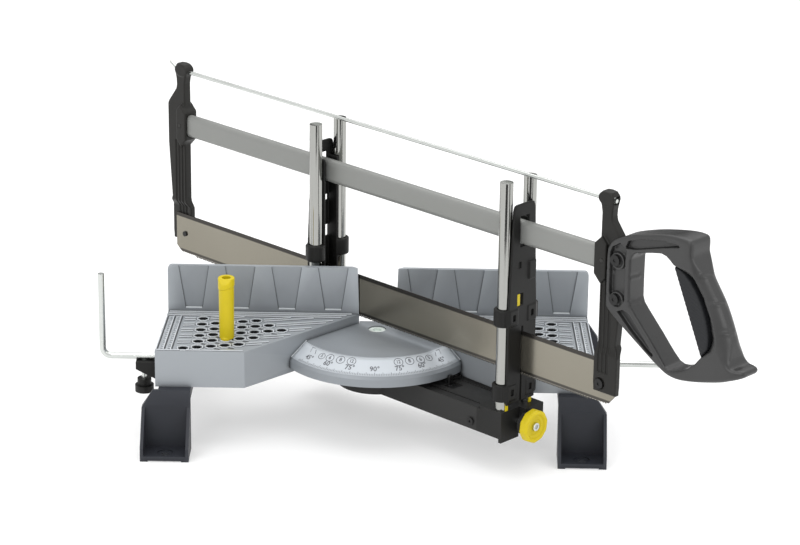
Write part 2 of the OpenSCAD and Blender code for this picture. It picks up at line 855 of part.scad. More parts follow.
// Guides: an upright plate with two collars on each of its posts
guide_low = 69.8;
collar_h = 16;
collar_d = 18;
collar_up = 141.5;
guide_top = 255;
plate_in = post_d / 2 + gap;
plate_t = 2.4;
plate_w_top = 30.6;
plate_w_low = 36.6;
plate_corner = 5;
plate_drop = 3.5;
boss_t = 3;
boss_w = 35;
window_side = 0.6;
window_over = 8.5;
window_under = 0.4;
slot_w = 2;
slot_over = 5;
cheek_l = 15;
cheek_t = 2.4;
rail_w = 2.4;
rail_l = 11;
rail_t = 8.4;
eye_w = 4;
eye_h = 6;
eye_t = 12;
catch_w = 7.4;
catch_h = 11.4;
catch_z = 165;
catch_t = -3.7;
peep_w = 3.5;
peep_z = 198;
peep_t = -5;
rib_z = 182;
rib_h = 17.5;
rib_w = 9;
module guide() {
    difference() {
        union() {
            translate([plate_in, 0, 0]) lengthways(plate_t) difference() {
                polygon([
                    [-plate_w_low / 2, guide_low - plate_drop],
                    [plate_w_low / 2, guide_low - plate_drop],
                    [plate_w_low / 2, collar_up + collar_h],
                    [plate_w_top / 2, guide_top],
                    [-plate_w_top / 2, guide_top],
                    [-plate_w_low / 2, collar_up + collar_h]
                ]);
                for (m = [0, 1]) {
                    mirror([m, 0]) translate([plate_w_top / 2 - plate_corner, guide_top - plate_corner]) difference() {
                        square(plate_corner + over);
                        circle(plate_corner);
                    }
                }
            }
            for (z = [guide_low, collar_up]) {
                translate([plate_in, -boss_w / 2, z]) cube([plate_t + boss_t, boss_w, collar_h]);
                for (t = [-post_t, post_t]) {
                    translate([0, t, z]) cylinder(d = collar_d, h = collar_h);
                    translate([0, t - collar_d / 2, z]) cube([plate_in + seat, collar_d, collar_h]);
                }
            }
            for (t = [-rail_t, rail_t]) {
                translate([plate_in - rail_l, t - rail_w / 2, guide_low]) {
                    cube([rail_l + seat, rail_w, guide_top - guide_low - 3 * plate_corner]);
                }
            }
            translate([plate_in + plate_t - seat, -slot_w / 2 - cheek_t, guide_low - plate_drop]) {
                cube([cheek_l, slot_w + 2 * cheek_t, blade_top + slot_over - guide_low + plate_drop]);
            }
            translate([plate_in, plate_w_top / 2 - rib_w, rib_z]) cube([plate_t + boss_t / 2, rib_w, rib_h]);
        }
        for (t = [-post_t, post_t]) {
            translate([0, t, 0]) cylinder(d = post_d + 2 * run, h = post_top);
        }
        translate([-collar_d, -slot_w / 2, 0]) cube([2 * collar_d + cheek_l, slot_w, blade_top + slot_over]);
        translate([-collar_d, -tube_w / 2 - window_side, tube_z - tube_h / 2 - window_under]) {
            cube([2 * collar_d, tube_w + 2 * window_side, tube_h + window_under + window_over]);
        }
        for (z = [guide_low, collar_up]) {
            for (t = [-eye_t, eye_t]) {
                translate([plate_in + plate_t, t - eye_w / 2, z + (collar_h - eye_h) / 2]) cube([boss_t + over, eye_w, eye_h]);
            }
        }
        translate([plate_in - over, catch_t - catch_w / 2, catch_z - catch_h / 2]) {
            cube([plate_t + 2 * over, catch_w, catch_h]);
        }
        translate([plate_in - over, peep_t - peep_w / 2, peep_z - eye_h / 2]) cube([plate_t + 2 * over, peep_w, eye_h]);
    }
}
module front_guide() {
    color(dark) along_saw() translate([post_front, 0, 0]) guide();
}
module rear_guide() {
    color(dark) along_saw() translate([-post_rear, 0, 0]) rotate([0, 0, 180]) guide();
}
// Catch: a sprung slider behind the front guide's plate
catch_l = 6;
catch_step = 2.5;
module front_catch() {
    color(yellow) along_saw() translate([post_front + plate_in, catch_t, catch_z]) {
        translate([-over, -catch_w / 2 + gap, -catch_h / 2 + gap]) {
            cube([plate_t + over - gap, catch_w / 2 - gap, catch_h - 2 * gap]);
        }
        translate([-catch_l, -catch_w / 2 + 2 * gap, -catch_h / 2 + gap]) {
            cube([catch_l - gap, catch_w / 2 - gap + catch_step / 2, catch_h - 2 * gap]);
        }
    }
}

// End frames: one casting, used at both ends of the saw, turned half round at the rear.
// Its own x runs outwards from the inner side of its stem.
frame_t = 8.6;
frame_w = 24.8;
frame_low_w = 20.3;
frame_seat = 18.5;
neck_w = 12;
neck_from = 20;
neck_to = 38;
head_in = 3;
head_out = 13.4;
head_up = 8.2;
head_down = 4.6;
socket_t = 16;
socket_in = 4;
socket_rise = 13.6;
socket_flare = 7;
socket_back = 10;
jog_z = 7.5;
jog_h = 7;
tongue_t = 6;
tongue_low = 11.5;
tongue_in = 1.8;
tongue_out = 24.7;
tongue_corner = 4;
bolt_in = 6;
bolt_up = 20;
bolt_d = 5;
tube_in = 9;
tube_wall = 1.5;
foot_of_shoulder = 20;
frame_front = blade_front - frame_seat;
frame_rear = -blade_rear - frame_seat;
slit = 4;
slit_in = 5;
tongue_face = blade_t / 2 + seat;
module end_frame(slotted) {
    difference() {
        union() {
            // Stem, neck and shoulders
            upright(frame_t) polygon([
                [0, blade_top + jog_z],
                [frame_low_w, blade_top + jog_z],
                [frame_low_w, blade_top + 2 * jog_z],
                [frame_w, tube_z - foot_of_shoulder],
                [frame_w, tube_z + foot_of_shoulder],
                [neck_w, tube_z + neck_to],
                [neck_w, rod_z - head_down],
                [head_out, rod_z],
                [head_out - head_in, rod_z + head_up],
                [0, rod_z + head_up],
                [-head_in, rod_z + head_up / 2],
                [-head_in, rod_z],
                [0, rod_z - head_down - head_in],
                [0, tube_z + neck_from]
            ]);
            // Socket for the tube
            upright(socket_t) polygon([
                [-socket_in, tube_z - socket_rise],
                [socket_in, tube_z - socket_rise - socket_flare],
                [socket_back, tube_z - socket_rise],
                [socket_back, tube_z + socket_rise],
                [socket_in, tube_z + socket_rise + socket_flare],
                [-socket_in, tube_z + socket_rise]
            ]);
            // Tongue beside the blade, and the jog down to it
            translate([0, -tongue_face - tongue_t / 2, 0]) upright(tongue_t) {
                translate([-tongue_in, blade_z + tongue_low]) {
                    rounded(tongue_out + tongue_in, blade_h - tongue_low + jog_z + jog_h, tongue_corner);
                }
            }
        }
        tube_cut();
        translate([bolt_in, frame_t, blade_z + bolt_up]) rotate([90, 0, 0]) cylinder(d = bolt_d + 2 * run, h = 2 * frame_t);
        translate([-over - socket_in, 0, rod_z]) rotate([0, 90, 0]) cylinder(d = rod_d + 2 * run, h = frame_w + socket_in + 2 * over);
        translate([tube_in / 2, socket_t, tube_z]) rotate([90, 0, 0]) cylinder(d = pin_d + 2 * run, h = 2 * socket_t);
        if (slotted) {
            translate([slit_in, -frame_t, rod_z - slit]) cube([head_out, 2 * frame_t, 2 * slit]);
            for (z = handle_screw_zs) {
                translate([handle_screw_in, frame_t, z]) rotate([90, 0, 0]) cylinder(d = handle_screw_d + 2 * run, h = 2 * frame_t);
            }
        }
    }
}
module tube_section(w, h) {
    for (z = [-1, 1]) {
        translate([0, z * (h - w) / 2]) circle(d = w);
    }
    square([w, h - w], center = true);
}
module tube_cut() {
    translate([-socket_in - over, 0, tube_z]) lengthways(tube_in + socket_in + over) tube_section(tube_w + 2 * seat, tube_h + 2 * seat);
}
pin_d = 4;
module front_frame() {
    color(dark) along_saw() translate([frame_front, 0, 0]) end_frame(true);
}
module rear_frame() {
    color(dark) along_saw() translate([-frame_rear, 0, 0]) rotate([0, 0, 180]) end_frame(false);
}
module top_tube() {
    color(alloy) along_saw() difference() {
        translate([-frame_rear - tube_in + seat, 0, tube_z]) lengthways(frame_front + frame_rear + 2 * tube_in - 2 * seat) difference() {
            tube_section(tube_w, tube_h);
            tube_section(tube_w - 2 * tube_wall, tube_h - 2 * tube_wall);
        }
        for (s = [frame_front + tube_in / 2, -frame_rear - tube_in / 2]) {
            translate([s, socket_t, tube_z]) rotate([90, 0, 0]) cylinder(d = pin_d + 2 * run, h = 2 * socket_t);
        }
    }
}
module tube_pins() {
    color(steel) along_saw() {
        for (s = [frame_front + tube_in / 2, -frame_rear - tube_in / 2]) {
            translate([s, socket_t / 2 + seat, tube_z]) rotate([90, 0, 0]) cylinder(d = pin_d, h = socket_t + 2 * seat);
        }
    }
}

// Tension rod across the top, hooked at the rear and drawn up by a nut at the front
rod_hook = 12;
rod_hook_angle = 32;
tension_d = 7;
tension_l = 4.5;
plate_thin = 1;
rod_front = frame_front + head_out - seat;
rod_rear = -frame_rear - head_out - gap;
module tension_rod() {
    color(steel) along_saw() translate([rod_rear, 0, rod_z]) {
        rotate([0, 90, 0]) cylinder(d = rod_d, h = rod_front - rod_rear);
        sphere(d = rod_d);
        rotate([0, -90 + rod_hook_angle, 0]) cylinder(d = rod_d, h = rod_hook);
    }
}
module tension_nut() {
    color(steel) along_saw() translate([frame_front + slit_in + plate_thin + 2 * seat, 0, rod_z]) rotate([0, 90, 0]) {
        ring(tension_d, rod_d + 2 * run, tension_l);
    }
}
module tension_plate() {
    color(steel) along_saw() translate([frame_front + slit_in + seat, -frame_t / 2, rod_z - slit + seat]) difference() {
        cube([plate_thin, frame_t, 2 * slit - 2 * seat]);
        translate([-over, frame_t / 2, slit - seat]) rotate([0, 90, 0]) cylinder(d = rod_d + 2 * run, h = plate_thin + 2 * over);
    }
}

// Blade: toothed strip with a chamfered nose
nose_l = 6;
nose_h = 8;
tail_l = 6;
tail_h = 6;
tooth_h = 1.2;
tooth_pitch = 3;
module saw_blade() {
    color(steel) along_saw() difference() {
        upright(blade_t) polygon(concat(
            [[blade_rear, blade_z + tail_h], [blade_rear + tail_l, blade_z + tooth_h]],
            [
                for (i = [1:floor((blade_len - nose_l - tail_l) / tooth_pitch) - 1], k = [0, 1])
                    [blade_rear + tail_l + i * tooth_pitch, blade_z + k * tooth_h]
            ],
            [[blade_front - nose_l, blade_z + tooth_h], [blade_front, blade_z + nose_h]],
            [[blade_front, blade_top], [blade_rear, blade_top]]
        ));
        for (s = [frame_front + bolt_in, -frame_rear - bolt_in]) {
            translate([s, blade_t, blade_z + bolt_up]) rotate([90, 0, 0]) cylinder(d = bolt_d + 2 * seat, h = 2 * blade_t);
        }
    }
}
bolt_head = 9;
bolt_head_t = 1.2;
bolt_back = 3;
module blade_bolt() {
    color(dark) along_saw() translate([frame_front + bolt_in, 0, blade_z + bolt_up]) rotate([90, 0, 0]) {
        translate([0, 0, -tongue_face - bolt_back]) cylinder(d = bolt_d, h = 2 * tongue_face + bolt_back + tongue_t);
        translate([0, 0, tongue_face + tongue_t]) difference() {
            cylinder(d = bolt_head, h = bolt_head_t);
            translate([0, 0, bolt_head_t / 2]) hex(bolt_head / 3, bolt_head_t);
        }
    }
}
module blade_nut() {
    color(steel) along_saw() translate([frame_front + bolt_in, tongue_face + bolt_back, blade_z + bolt_up]) rotate([90, 0, 0]) {
        difference() {
            hex(bolt_head - over, bolt_back);
            translate([0, 0, -over]) cylinder(d = bolt_d + 2 * run, h = bolt_back + 2 * over);
        }
    }
}
module blade_hook() {
    color(steel) along_saw() translate([-frame_rear - bolt_in, 0, blade_z + bolt_up]) rotate([90, 0, 0]) {
        translate([0, 0, -tongue_face - tongue_t]) cylinder(d = bolt_d, h = 2 * tongue_face + tongue_t);
        translate([0, 0, tongue_face]) cylinder(d = bolt_d + 2 * seat, h = bolt_head_t);
    }
}

// Handle: a closed grip that straddles the front frame
handle_in = 12;
handle_s = frame_front + handle_in;
handle_screw_in = 23;
handle_screw_d = 5;
handle_screw_over = 5.5;
handle_screw_below = 30.1;
handle_screw_zs = [tube_z + handle_screw_over, tube_z - handle_screw_below];
cheek_slot = frame_t + 2 * seat;
handle_outline_shares = [
    [0.000, 0.383], [0.070, 0.290], [0.133, 0.230], [0.258, 0.120], [0.341, 0.058], [0.403, 0.018],
    [0.453, 0.000], [0.545, 0.004], [0.690, 0.046], [0.830, 0.097], [0.925, 0.147], [0.985, 0.190],
    [1.000, 0.215], [0.945, 0.228], [0.890, 0.243], [0.855, 0.262], [0.800, 0.378], [0.723, 0.560],
    [0.660, 0.685], [0.614, 0.775], [0.604, 0.838], [0.610, 0.925], [0.604, 0.969], [0.575, 0.990],
    [0.540, 1.000], [0.470, 0.987], [0.352, 0.952], [0.255, 0.913], [0.175, 0.873], [0.095, 0.829],
    [0.035, 0.785], [0.006, 0.735], [0.000, 0.680]
];
opening_shares = [
    [0.148, 0.405], [0.160, 0.392], [0.255, 0.280], [0.360, 0.145], [0.415, 0.078], [0.465, 0.050],
    [0.520, 0.055], [0.580, 0.085], [0.630, 0.135], [0.655, 0.200], [0.455, 0.752], [0.405, 0.798],
    [0.350, 0.810], [0.255, 0.778], [0.178, 0.750], [0.148, 0.715]
];
pad_shares = [
    [0.655, 0.200], [0.690, 0.245], [0.712, 0.350], [0.708, 0.470], [0.670, 0.570], [0.610, 0.660],
    [0.540, 0.725], [0.455, 0.752]
];
pocket_top_shares = [[0.138, 0.818], [0.152, 0.836], [0.495, 0.908], [0.487, 0.888], [0.152, 0.776]];
pocket_mid_shares = [
    [0.030, 0.420], [0.030, 0.730], [0.060, 0.780], [0.105, 0.800], [0.142, 0.745], [0.118, 0.680],
    [0.130, 0.390], [0.100, 0.385]
];
pocket_low_shares = [[0.082, 0.342], [0.162, 0.378], [0.343, 0.108], [0.322, 0.102]];
grip_cut_share = 0.44;
pocket_depth = 4.5;
boss_r = 7.5;
web_gap = 2.5;
module handle_shape(p) {
    translate([handle_s, handle_z]) polygon(scaled(p, handle_l, handle_h));
}
module handle() {
    color(grey) along_saw() difference() {
        union() {
            difference() {
                upright(handle_t) handle_shape(handle_outline_shares);
                for (m = [0, 1]) {
                    mirror([0, m, 0]) translate([0, handle_t / 2 - pocket_depth / 2 + over / 2, 0]) upright(pocket_depth + over) {
                        handle_shape(pocket_top_shares);
                        handle_shape(pocket_mid_shares);
                        handle_shape(pocket_low_shares);
                    }
                }
            }
            intersection() {
                upright(grip_w) handle_shape(handle_outline_shares);
                translate([handle_s + grip_cut_share * handle_l, -grip_w, handle_z]) cube([handle_l, 2 * grip_w, 2 * handle_h]);
            }
            for (z = handle_screw_zs) {
                translate([frame_front + handle_screw_in, handle_t / 2, z]) rotate([90, 0, 0]) cylinder(r = boss_r, h = handle_t);
            }
        }
        upright(2 * grip_w) handle_shape(opening_shares);
        upright(2 * grip_w) handle_shape(pad_shares);
        upright(cheek_slot) polygon([
            [frame_front, blade_top + jog_z],
            [frame_front + frame_w + web_gap, blade_top + jog_z],
            [frame_front + frame_w + web_gap, tube_z + foot_of_shoulder],
            [frame_front + neck_w, tube_z + neck_to + web_gap],
            [frame_front, tube_z + neck_to + web_gap]
        ]);
        upright(socket_t + 2 * seat) translate([frame_front, tube_z - socket_rise - socket_flare]) {
            square([socket_back + handle_in / 2, 2 * (socket_rise + socket_flare)]);
        }
        for (z = handle_screw_zs) {
            translate([frame_front + handle_screw_in, handle_t, z]) rotate([90, 0, 0]) cylinder(d = handle_screw_d + 2 * run, h = 2 * handle_t);
        }
    }
}
module grip_pad() {
    color(dark) along_saw() upright(grip_w - 2 * seat) handle_shape(pad_shares);
}
module handle_screws() {
    color(dark) along_saw() {
        for (z = handle_screw_zs) {
            translate([frame_front + handle_screw_in, 0, z]) rotate([90, 0, 0]) {
                translate([0, 0, -handle_t / 2 - bolt_back]) cylinder(d = handle_screw_d, h = handle_t + bolt_back);
                translate([0, 0, handle_t / 2]) difference() {
                    cylinder(d = bolt_head + over, h = bolt_head_t);
                    translate([0, 0, bolt_head_t / 2]) hex(bolt_head / 3, bolt_head_t);
                }
            }
        }
    }
}
module handle_nuts() {
    color(steel) along_saw() {
        for (z = handle_screw_zs) {
            translate([frame_front + handle_screw_in, handle_t / 2 + bolt_back, z]) rotate([90, 0, 0]) difference() {
                hex(bolt_head, bolt_back);
                translate([0, 0, -over]) cylinder(d = handle_screw_d + 2 * run, h = bolt_back + 2 * over);
            }
        }
    }
}

left_table();
right_table();
dial_plate();
cross_member();
bridge_screws();
left_foot();
right_foot();
foot_screws();
pivot_bolt();
pivot_washer();
pivot_nut();
stop_bracket();
bracket_screw();
cam_peg();
stop_rod();
stop_stud();
stop_knob();
arm_beam();
pivot_bush();
thrust_washer();
front_end_cap();
rear_end_cap();
cap_screws();
front_left_post();
front_right_post();
rear_left_post();
rear_right_post();
post_stops();
detent_housing();
detent_spring();
detent_ball();
lock_shoe();
lock_spindle();
lock_knob();
knob_screw();
front_guide();
rear_guide();
front_catch();
rear_frame();
front_frame();
top_tube();
tube_pins();
tension_rod();
tension_nut();
tension_plate();
saw_blade();
blade_bolt();
blade_nut();
blade_hook();
handle();
grip_pad();
handle_screws();
handle_nuts();
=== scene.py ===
import math

import bmesh
import bpy
import numpy as np
from mathutils import Matrix, Vector


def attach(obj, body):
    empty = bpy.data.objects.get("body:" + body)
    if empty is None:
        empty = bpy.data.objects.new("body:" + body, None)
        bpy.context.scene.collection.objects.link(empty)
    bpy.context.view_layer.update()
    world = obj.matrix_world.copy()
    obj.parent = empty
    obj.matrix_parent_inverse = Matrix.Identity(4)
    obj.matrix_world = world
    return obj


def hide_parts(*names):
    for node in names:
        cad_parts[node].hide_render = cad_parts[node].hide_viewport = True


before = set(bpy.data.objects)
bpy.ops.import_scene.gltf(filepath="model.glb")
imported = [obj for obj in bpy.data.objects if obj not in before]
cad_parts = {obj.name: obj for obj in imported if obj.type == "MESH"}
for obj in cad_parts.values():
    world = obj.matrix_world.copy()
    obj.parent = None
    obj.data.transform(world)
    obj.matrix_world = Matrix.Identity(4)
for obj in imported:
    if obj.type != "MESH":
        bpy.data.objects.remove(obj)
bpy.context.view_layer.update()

# Lengths of shapes are in mm, and those of materials, lamps and stage in metres
MM = 0.001
# At rest the arm stands 47 degrees to the right: US runs along the saw and VS across it
SWING = math.radians(47 - 90)
US = Vector((math.cos(SWING), math.sin(SWING), 0))
VS = Vector((-math.sin(SWING), math.cos(SWING), 0))
# Heights of the tables' surface, the tube's axis and the lock's axis
TABLE_Z = 94.7
TUBE_Z = 227.9
LOCK_Z = 47
# Places along the saw of the end frames and the posts, front and rear, and the posts' offset across it
FRAME_S = (272.0, -261.0)
POST_S = (172.5, -66.4)
POST_T = 15.7

# Camera: its turn, tilt and roll in degrees, the point that it was solved around, and its distance
CAM_TURN, CAM_TILT, CAM_ROLL = 1.3397, 19.2390, 0.494
CAM_TARGET = Vector((-1.82, 15.4, 180.0))
CAM_AWAY = 2799.8
LENS, SENSOR = 135.0, 36.0
# The picture's size, and the place in it of the point that the camera was solved around, in pixels
PICTURE_W, PICTURE_H = 800, 545
TARGET_PX, TARGET_PY = 376.467, 228.912


def make_camera():
    az, el, ro = math.radians(CAM_TURN), math.radians(CAM_TILT), math.radians(CAM_ROLL)
    back = Vector((math.sin(az) * math.cos(el), -math.cos(az) * math.cos(el), math.sin(el)))
    right = Vector((math.cos(az), math.sin(az), 0))
    up = back.cross(right)
    place = CAM_TARGET + back * CAM_AWAY
    f = LENS / SENSOR * PICTURE_W
    dx, dy = PICTURE_W / 2 - TARGET_PX, PICTURE_H / 2 - TARGET_PY
    x = dx * math.cos(ro) + dy * math.sin(ro)
    y = dx * math.sin(ro) - dy * math.cos(ro)
    ahead = (right * x + up * y - back * f).normalized()
    tall = -right * math.sin(ro) + up * math.cos(ro)
    side = ahead.cross(tall).normalized()
    tall = side.cross(ahead)
    data = bpy.data.cameras.new("camera")
    data.lens = LENS
    data.sensor_width = SENSOR
    data.clip_start = 0.05
    data.clip_end = 60.0
    cam = bpy.data.objects.new("camera", data)
    bpy.context.scene.collection.objects.link(cam)
    turn = Matrix((side, tall, -ahead)).transposed()
    cam.matrix_world = Matrix.Translation(place * MM) @ turn.to_4x4()
    bpy.context.scene.camera = cam


make_camera()


# Material helpers
def nodes_of(name):
    m = bpy.data.materials.new(name)
    m.use_nodes = True
    nt = m.node_tree
    return m, nt, nt.nodes["Principled BSDF"]


def add(nt, kind, **values):
    n = nt.nodes.new("ShaderNode" + kind)
    for k, v in values.items():
        if k in n.inputs:
            n.inputs[k].default_value = v
        else:
            setattr(n, k, v)
    return n


def coords(nt, scale=(1, 1, 1), turn=0.0):
    tc = add(nt, "TexCoord")
    mp = add(nt, "Mapping")
    mp.inputs["Scale"].default_value = scale
    mp.inputs["Rotation"].default_value = (0, 0, turn)
    nt.links.new(tc.outputs["Object"], mp.inputs["Vector"])
    return mp.outputs["Vector"]


def height_of(nt):
    sep = add(nt, "SeparateXYZ")
    nt.links.new(coords(nt), sep.inputs[0])
    return sep.outputs["Z"]


def noise(nt, vec, scale, detail, rough=0.5):
    n = add(nt, "TexNoise", Scale=float(scale), Detail=detail, Roughness=rough)
    nt.links.new(vec, n.inputs["Vector"])
    return n.outputs["Fac"]


def span(nt, src, lo, hi, a=0.0, b=1.0):
    """Maps src from a..b to lo..hi."""
    r = add(nt, "MapRange")
    r.inputs["From Min"].default_value = a
    r.inputs["From Max"].default_value = b
    r.inputs["To Min"].default_value = lo
    r.inputs["To Max"].default_value = hi
    nt.links.new(src, r.inputs["Value"])
    return r.outputs["Result"]


def mixed(nt, share, a, b, kind="MIX"):
    """A mix of two colours, where share, a and b are each a value or another node's output."""
    n = add(nt, "Mix", data_type="RGBA", blend_type=kind)
    for k, src in ((0, share), (6, a), (7, b)):
        if isinstance(src, bpy.types.NodeSocket):
            nt.links.new(src, n.inputs[k])
        else:
            n.inputs[k].default_value = src
    return n.outputs[2]


def maths(nt, kind, a, b):
    n = add(nt, "Math", operation=kind)
    nt.links.new(a, n.inputs[0])
    nt.links.new(b, n.inputs[1])
    return n.outputs[0]


def ramp_of(nt, src, tones):
    """A colour ramp over src: tones lists places and colours, from 0 to 1."""
    ramp = add(nt, "ValToRGB")
    nt.links.new(src, ramp.inputs[0])
    parts = ramp.color_ramp.elements
    for e, (place, tint) in ((parts[0], tones[0]), (parts[1], tones[-1])):
        e.position = place
        e.color = tint + (1,)
    for place, tint in tones[1:-1]:
        parts.new(place).color = tint + (1,)
    return ramp.outputs[0]


def bumped(nt, bsdf, height, strength, depth):
    b = add(nt, "Bump", Strength=strength, Distance=depth)
    nt.links.new(height, b.inputs["Height"])
    nt.links.new(b.outputs["Normal"], bsdf.inputs["Normal"])


def tone(base, gain, lift=0.0):
    return tuple(min(1, c * gain + lift) for c in base) + (1,)


# Heights between which the castings' colour brightens, as painted light on the faces above the tables
PAINTED_LIGHT_FROM, PAINTED_LIGHT_TO = 0.095, 0.104


def surface(name, base, rough=0.5, metal=0.0, grain=1400, bump=0.2, depth=0.00006, vary=0.10,
            rough_vary=0.08, stretch=(1, 1, 1), turn=0.0, edge=0.0, spec=0.5, cavity_shade=0.0, upper_light=1.0):
    """A moulded, cast or brushed finish: cloudy colour, uneven roughness, fine bump and lighter edges."""
    m, nt, bsdf = nodes_of(name)
    cloud = noise(nt, coords(nt), 22.0, 4.0, 0.6)
    fine = noise(nt, coords(nt, stretch, turn), grain, 3.0, 0.55)
    out = mixed(nt, span(nt, cloud, 0, 1, 0.3, 0.7), tone(base, 1 - vary), tone(base, 1 + vary))
    if edge:
        corner = add(nt, "NewGeometry").outputs["Pointiness"]
        out = mixed(nt, span(nt, corner, 0, edge, 0.52, 0.62), out, tone(base, 2.2, 0.04))
    if upper_light != 1.0:
        # Painted light: the faces above the tables are coloured a little brighter than the rest of the
        # casting
        gain = span(nt, height_of(nt), 1.0, upper_light, PAINTED_LIGHT_FROM, PAINTED_LIGHT_TO)
        out = mixed(nt, 1.0, out, gain, "MULTIPLY")
    # Painted shade: where ambient occlusion finds the surface hemmed in, in holes, corners and beside ridges,
    # the colour darkens towards a dark tone
    if cavity_shade:
        open_sky = add(nt, "AmbientOcclusion", Distance=cavity_shade)
        open_sky.samples = 8
        out = mixed(nt, span(nt, open_sky.outputs["AO"], 0, 1, 0.25, 0.80), tone(base, 0.16), out)
    nt.links.new(out, bsdf.inputs["Base Color"])
    broad = span(nt, cloud, -rough_vary, rough_vary, 0.3, 0.7)
    small = span(nt, fine, rough - rough_vary / 2, rough + rough_vary / 2, 0.3, 0.7)
    nt.links.new(maths(nt, "ADD", broad, small), bsdf.inputs["Roughness"])
    bumped(nt, bsdf, fine, bump, depth)
    bsdf.inputs["Metallic"].default_value = metal
    bsdf.inputs["Specular IOR Level"].default_value = spec
    return m


# The blade from its toothed edge to its back: lower and upper height, and the tones between them
STRIP_Z = (0.0936, 0.1341)
STRIP_TONES = [
    (0.0, (0.36, 0.34, 0.295)), (0.015, (0.36, 0.34, 0.295)), (0.025, (0.075, 0.07, 0.062)),
    (0.078, (0.085, 0.08, 0.07)), (0.092, (0.275, 0.258, 0.212)), (0.90, (0.285, 0.268, 0.222)),
    (0.915, (0.055, 0.052, 0.048)), (1.0, (0.06, 0.055, 0.05)),
]
CLOUD_TONES = [(0.0, (0.80, 0.79, 0.78)), (1.0, (1, 1, 1))]


def blade_surface():
    """Ground strip: brushed along its length, dark toothed edge and dark back."""
    m, nt, bsdf = nodes_of("blade_strip")
    brush = noise(nt, coords(nt, (30, 900, 900), -SWING), 1.0, 5.0, 0.7)
    cloud = noise(nt, coords(nt), 9.0, 3.0)
    strip = ramp_of(nt, span(nt, height_of(nt), 0, 1, *STRIP_Z), STRIP_TONES)
    shade = ramp_of(nt, maths(nt, "MULTIPLY", cloud, span(nt, brush, 0.6, 1.4, 0.2, 0.8)), CLOUD_TONES)
    nt.links.new(mixed(nt, 1.0, strip, shade, "MULTIPLY"), bsdf.inputs["Base Color"])
    nt.links.new(span(nt, brush, 0.16, 0.28, 0.2, 0.8), bsdf.inputs["Roughness"])
    bumped(nt, bsdf, brush, 0.12, 0.00003)
    bsdf.inputs["Metallic"].default_value = 0.85
    return m


# Materials: cast alloy, and light and dark copies of its colour that paint light and shade
CASTING = dict(rough=0.44, metal=0.30, grain=2600, bump=0.25, depth=0.00005, vary=0.05, cavity_shade=0.006)
ALLOY = surface("cast_alloy", (0.205, 0.220, 0.235), edge=0.35, upper_light=1.24, **CASTING)
DIAL_ALLOY = surface("dial_alloy", (0.252, 0.272, 0.292), **CASTING)
# Painted highlight: a much lighter copy of the cast alloy's colour, for the lit faces of ridges, raised
# figures and borders
ALLOY_LIT = surface("cast_alloy_painted_highlight", (0.62, 0.65, 0.68), rough=0.40, metal=0.20, grain=2600,
                     depth=0.00004, vary=0.05)
# Painted shade: a dark copy of the cast alloy's colour, for thin strips laid where the ridges and grooves
# cast shade
ALLOY_SHADE = surface("cast_alloy_painted_shade", (0.050, 0.053, 0.058), rough=0.6, metal=0.1, grain=2600,
                      depth=0.00004, vary=0.08)
# Painted shade: near-black walls inside the peg holes, standing in for the shade deep in them
HOLE_SHADE = surface("hole_painted_shade", (0.016, 0.017, 0.018), rough=0.8, grain=1600, vary=0.15, spec=0.1)
# Painted highlight: a light copy of the cast alloy's colour, for the ledges at the foot of the fence's
# grooves
FENCE_LEDGE_LIT = surface("fence_ledge_painted_highlight", (0.62, 0.65, 0.67), rough=0.38, metal=0.3, grain=2400, bump=0.1,
                    vary=0.03)
DIAL_BAND = surface("dial_band", (0.46, 0.492, 0.525), rough=0.45, metal=0.1, grain=2600, bump=0.15,
                    depth=0.00003, vary=0.03)
DIAL_INK = surface("dial_mark", (0.085, 0.088, 0.10), metal=0.1, grain=1800, bump=0.1, vary=0.08)
# Paint, plastic and rubber
PAINT = surface("black_paint", (0.014, 0.014, 0.0135), rough=0.45, grain=1500, bump=0.25, vary=0.15,
                edge=0.20, spec=0.22)
FRAME_PAINT = surface("frame_paint", (0.0135, 0.0130, 0.0115), rough=0.42, grain=1300, bump=0.3,
                      depth=0.00007, vary=0.12, edge=0.22, spec=0.24)
PLASTIC = surface("black_plastic", (0.0075, 0.0075, 0.0070), rough=0.46, grain=1700, bump=0.3,
                  vary=0.12, edge=0.15, spec=0.22)
FOOT = surface("foot_plastic", (0.020, 0.022, 0.028), grain=1700, bump=0.3, vary=0.12, edge=0.18,
               spec=0.28)
HANDLE = surface("handle_plastic", (0.024, 0.024, 0.024), rough=0.38, grain=1500, bump=0.35,
                 depth=0.00008, vary=0.09, edge=0.24, spec=0.52)
RUBBER = surface("grip_rubber", (0.014, 0.015, 0.017), rough=0.62, grain=900, bump=0.45,
                 depth=0.00015, vary=0.12, spec=0.3)
YELLOW = surface("yellow_plastic", (0.56, 0.44, 0.004), rough=0.44, grain=1200, bump=0.15,
                 depth=0.00005, vary=0.05, spec=0.3)
NYLON = surface("nylon", (0.62, 0.61, 0.56), grain=1500, vary=0.05)
# Steel
SATIN = surface("satin_tube", (0.238, 0.243, 0.232), rough=0.42, metal=0.35, grain=1.0, turn=-SWING,
                stretch=(60, 2600, 2600), bump=0.12, depth=0.00003, vary=0.03, rough_vary=0.05)
CHROME = surface("chrome", (0.36, 0.362, 0.345), rough=0.10, metal=1.0, grain=1.0, bump=0.04,
                 stretch=(1500, 1500, 12), depth=0.00002, vary=0.02, rough_vary=0.02)
ZINC = surface("zinc_steel", (0.60, 0.62, 0.60), rough=0.26, metal=1.0, grain=1800, bump=0.12,
               depth=0.00003, vary=0.06)
BOLT_HEAD = surface("bolt_zinc", (0.70, 0.76, 0.72), rough=0.38, metal=0.45, grain=1800, bump=0.12,
                    vary=0.06)
BLACK_OXIDE = surface("black_oxide", (0.020, 0.020, 0.020), rough=0.35, metal=0.6, grain=1800,
                      bump=0.15)
TOOTH = surface("tooth_steel", (0.085, 0.08, 0.07), rough=0.4, metal=0.7, grain=1800, bump=0.15)
BLADE = blade_surface()

POSTS = ("front_left_post", "front_right_post", "rear_left_post", "rear_right_post")
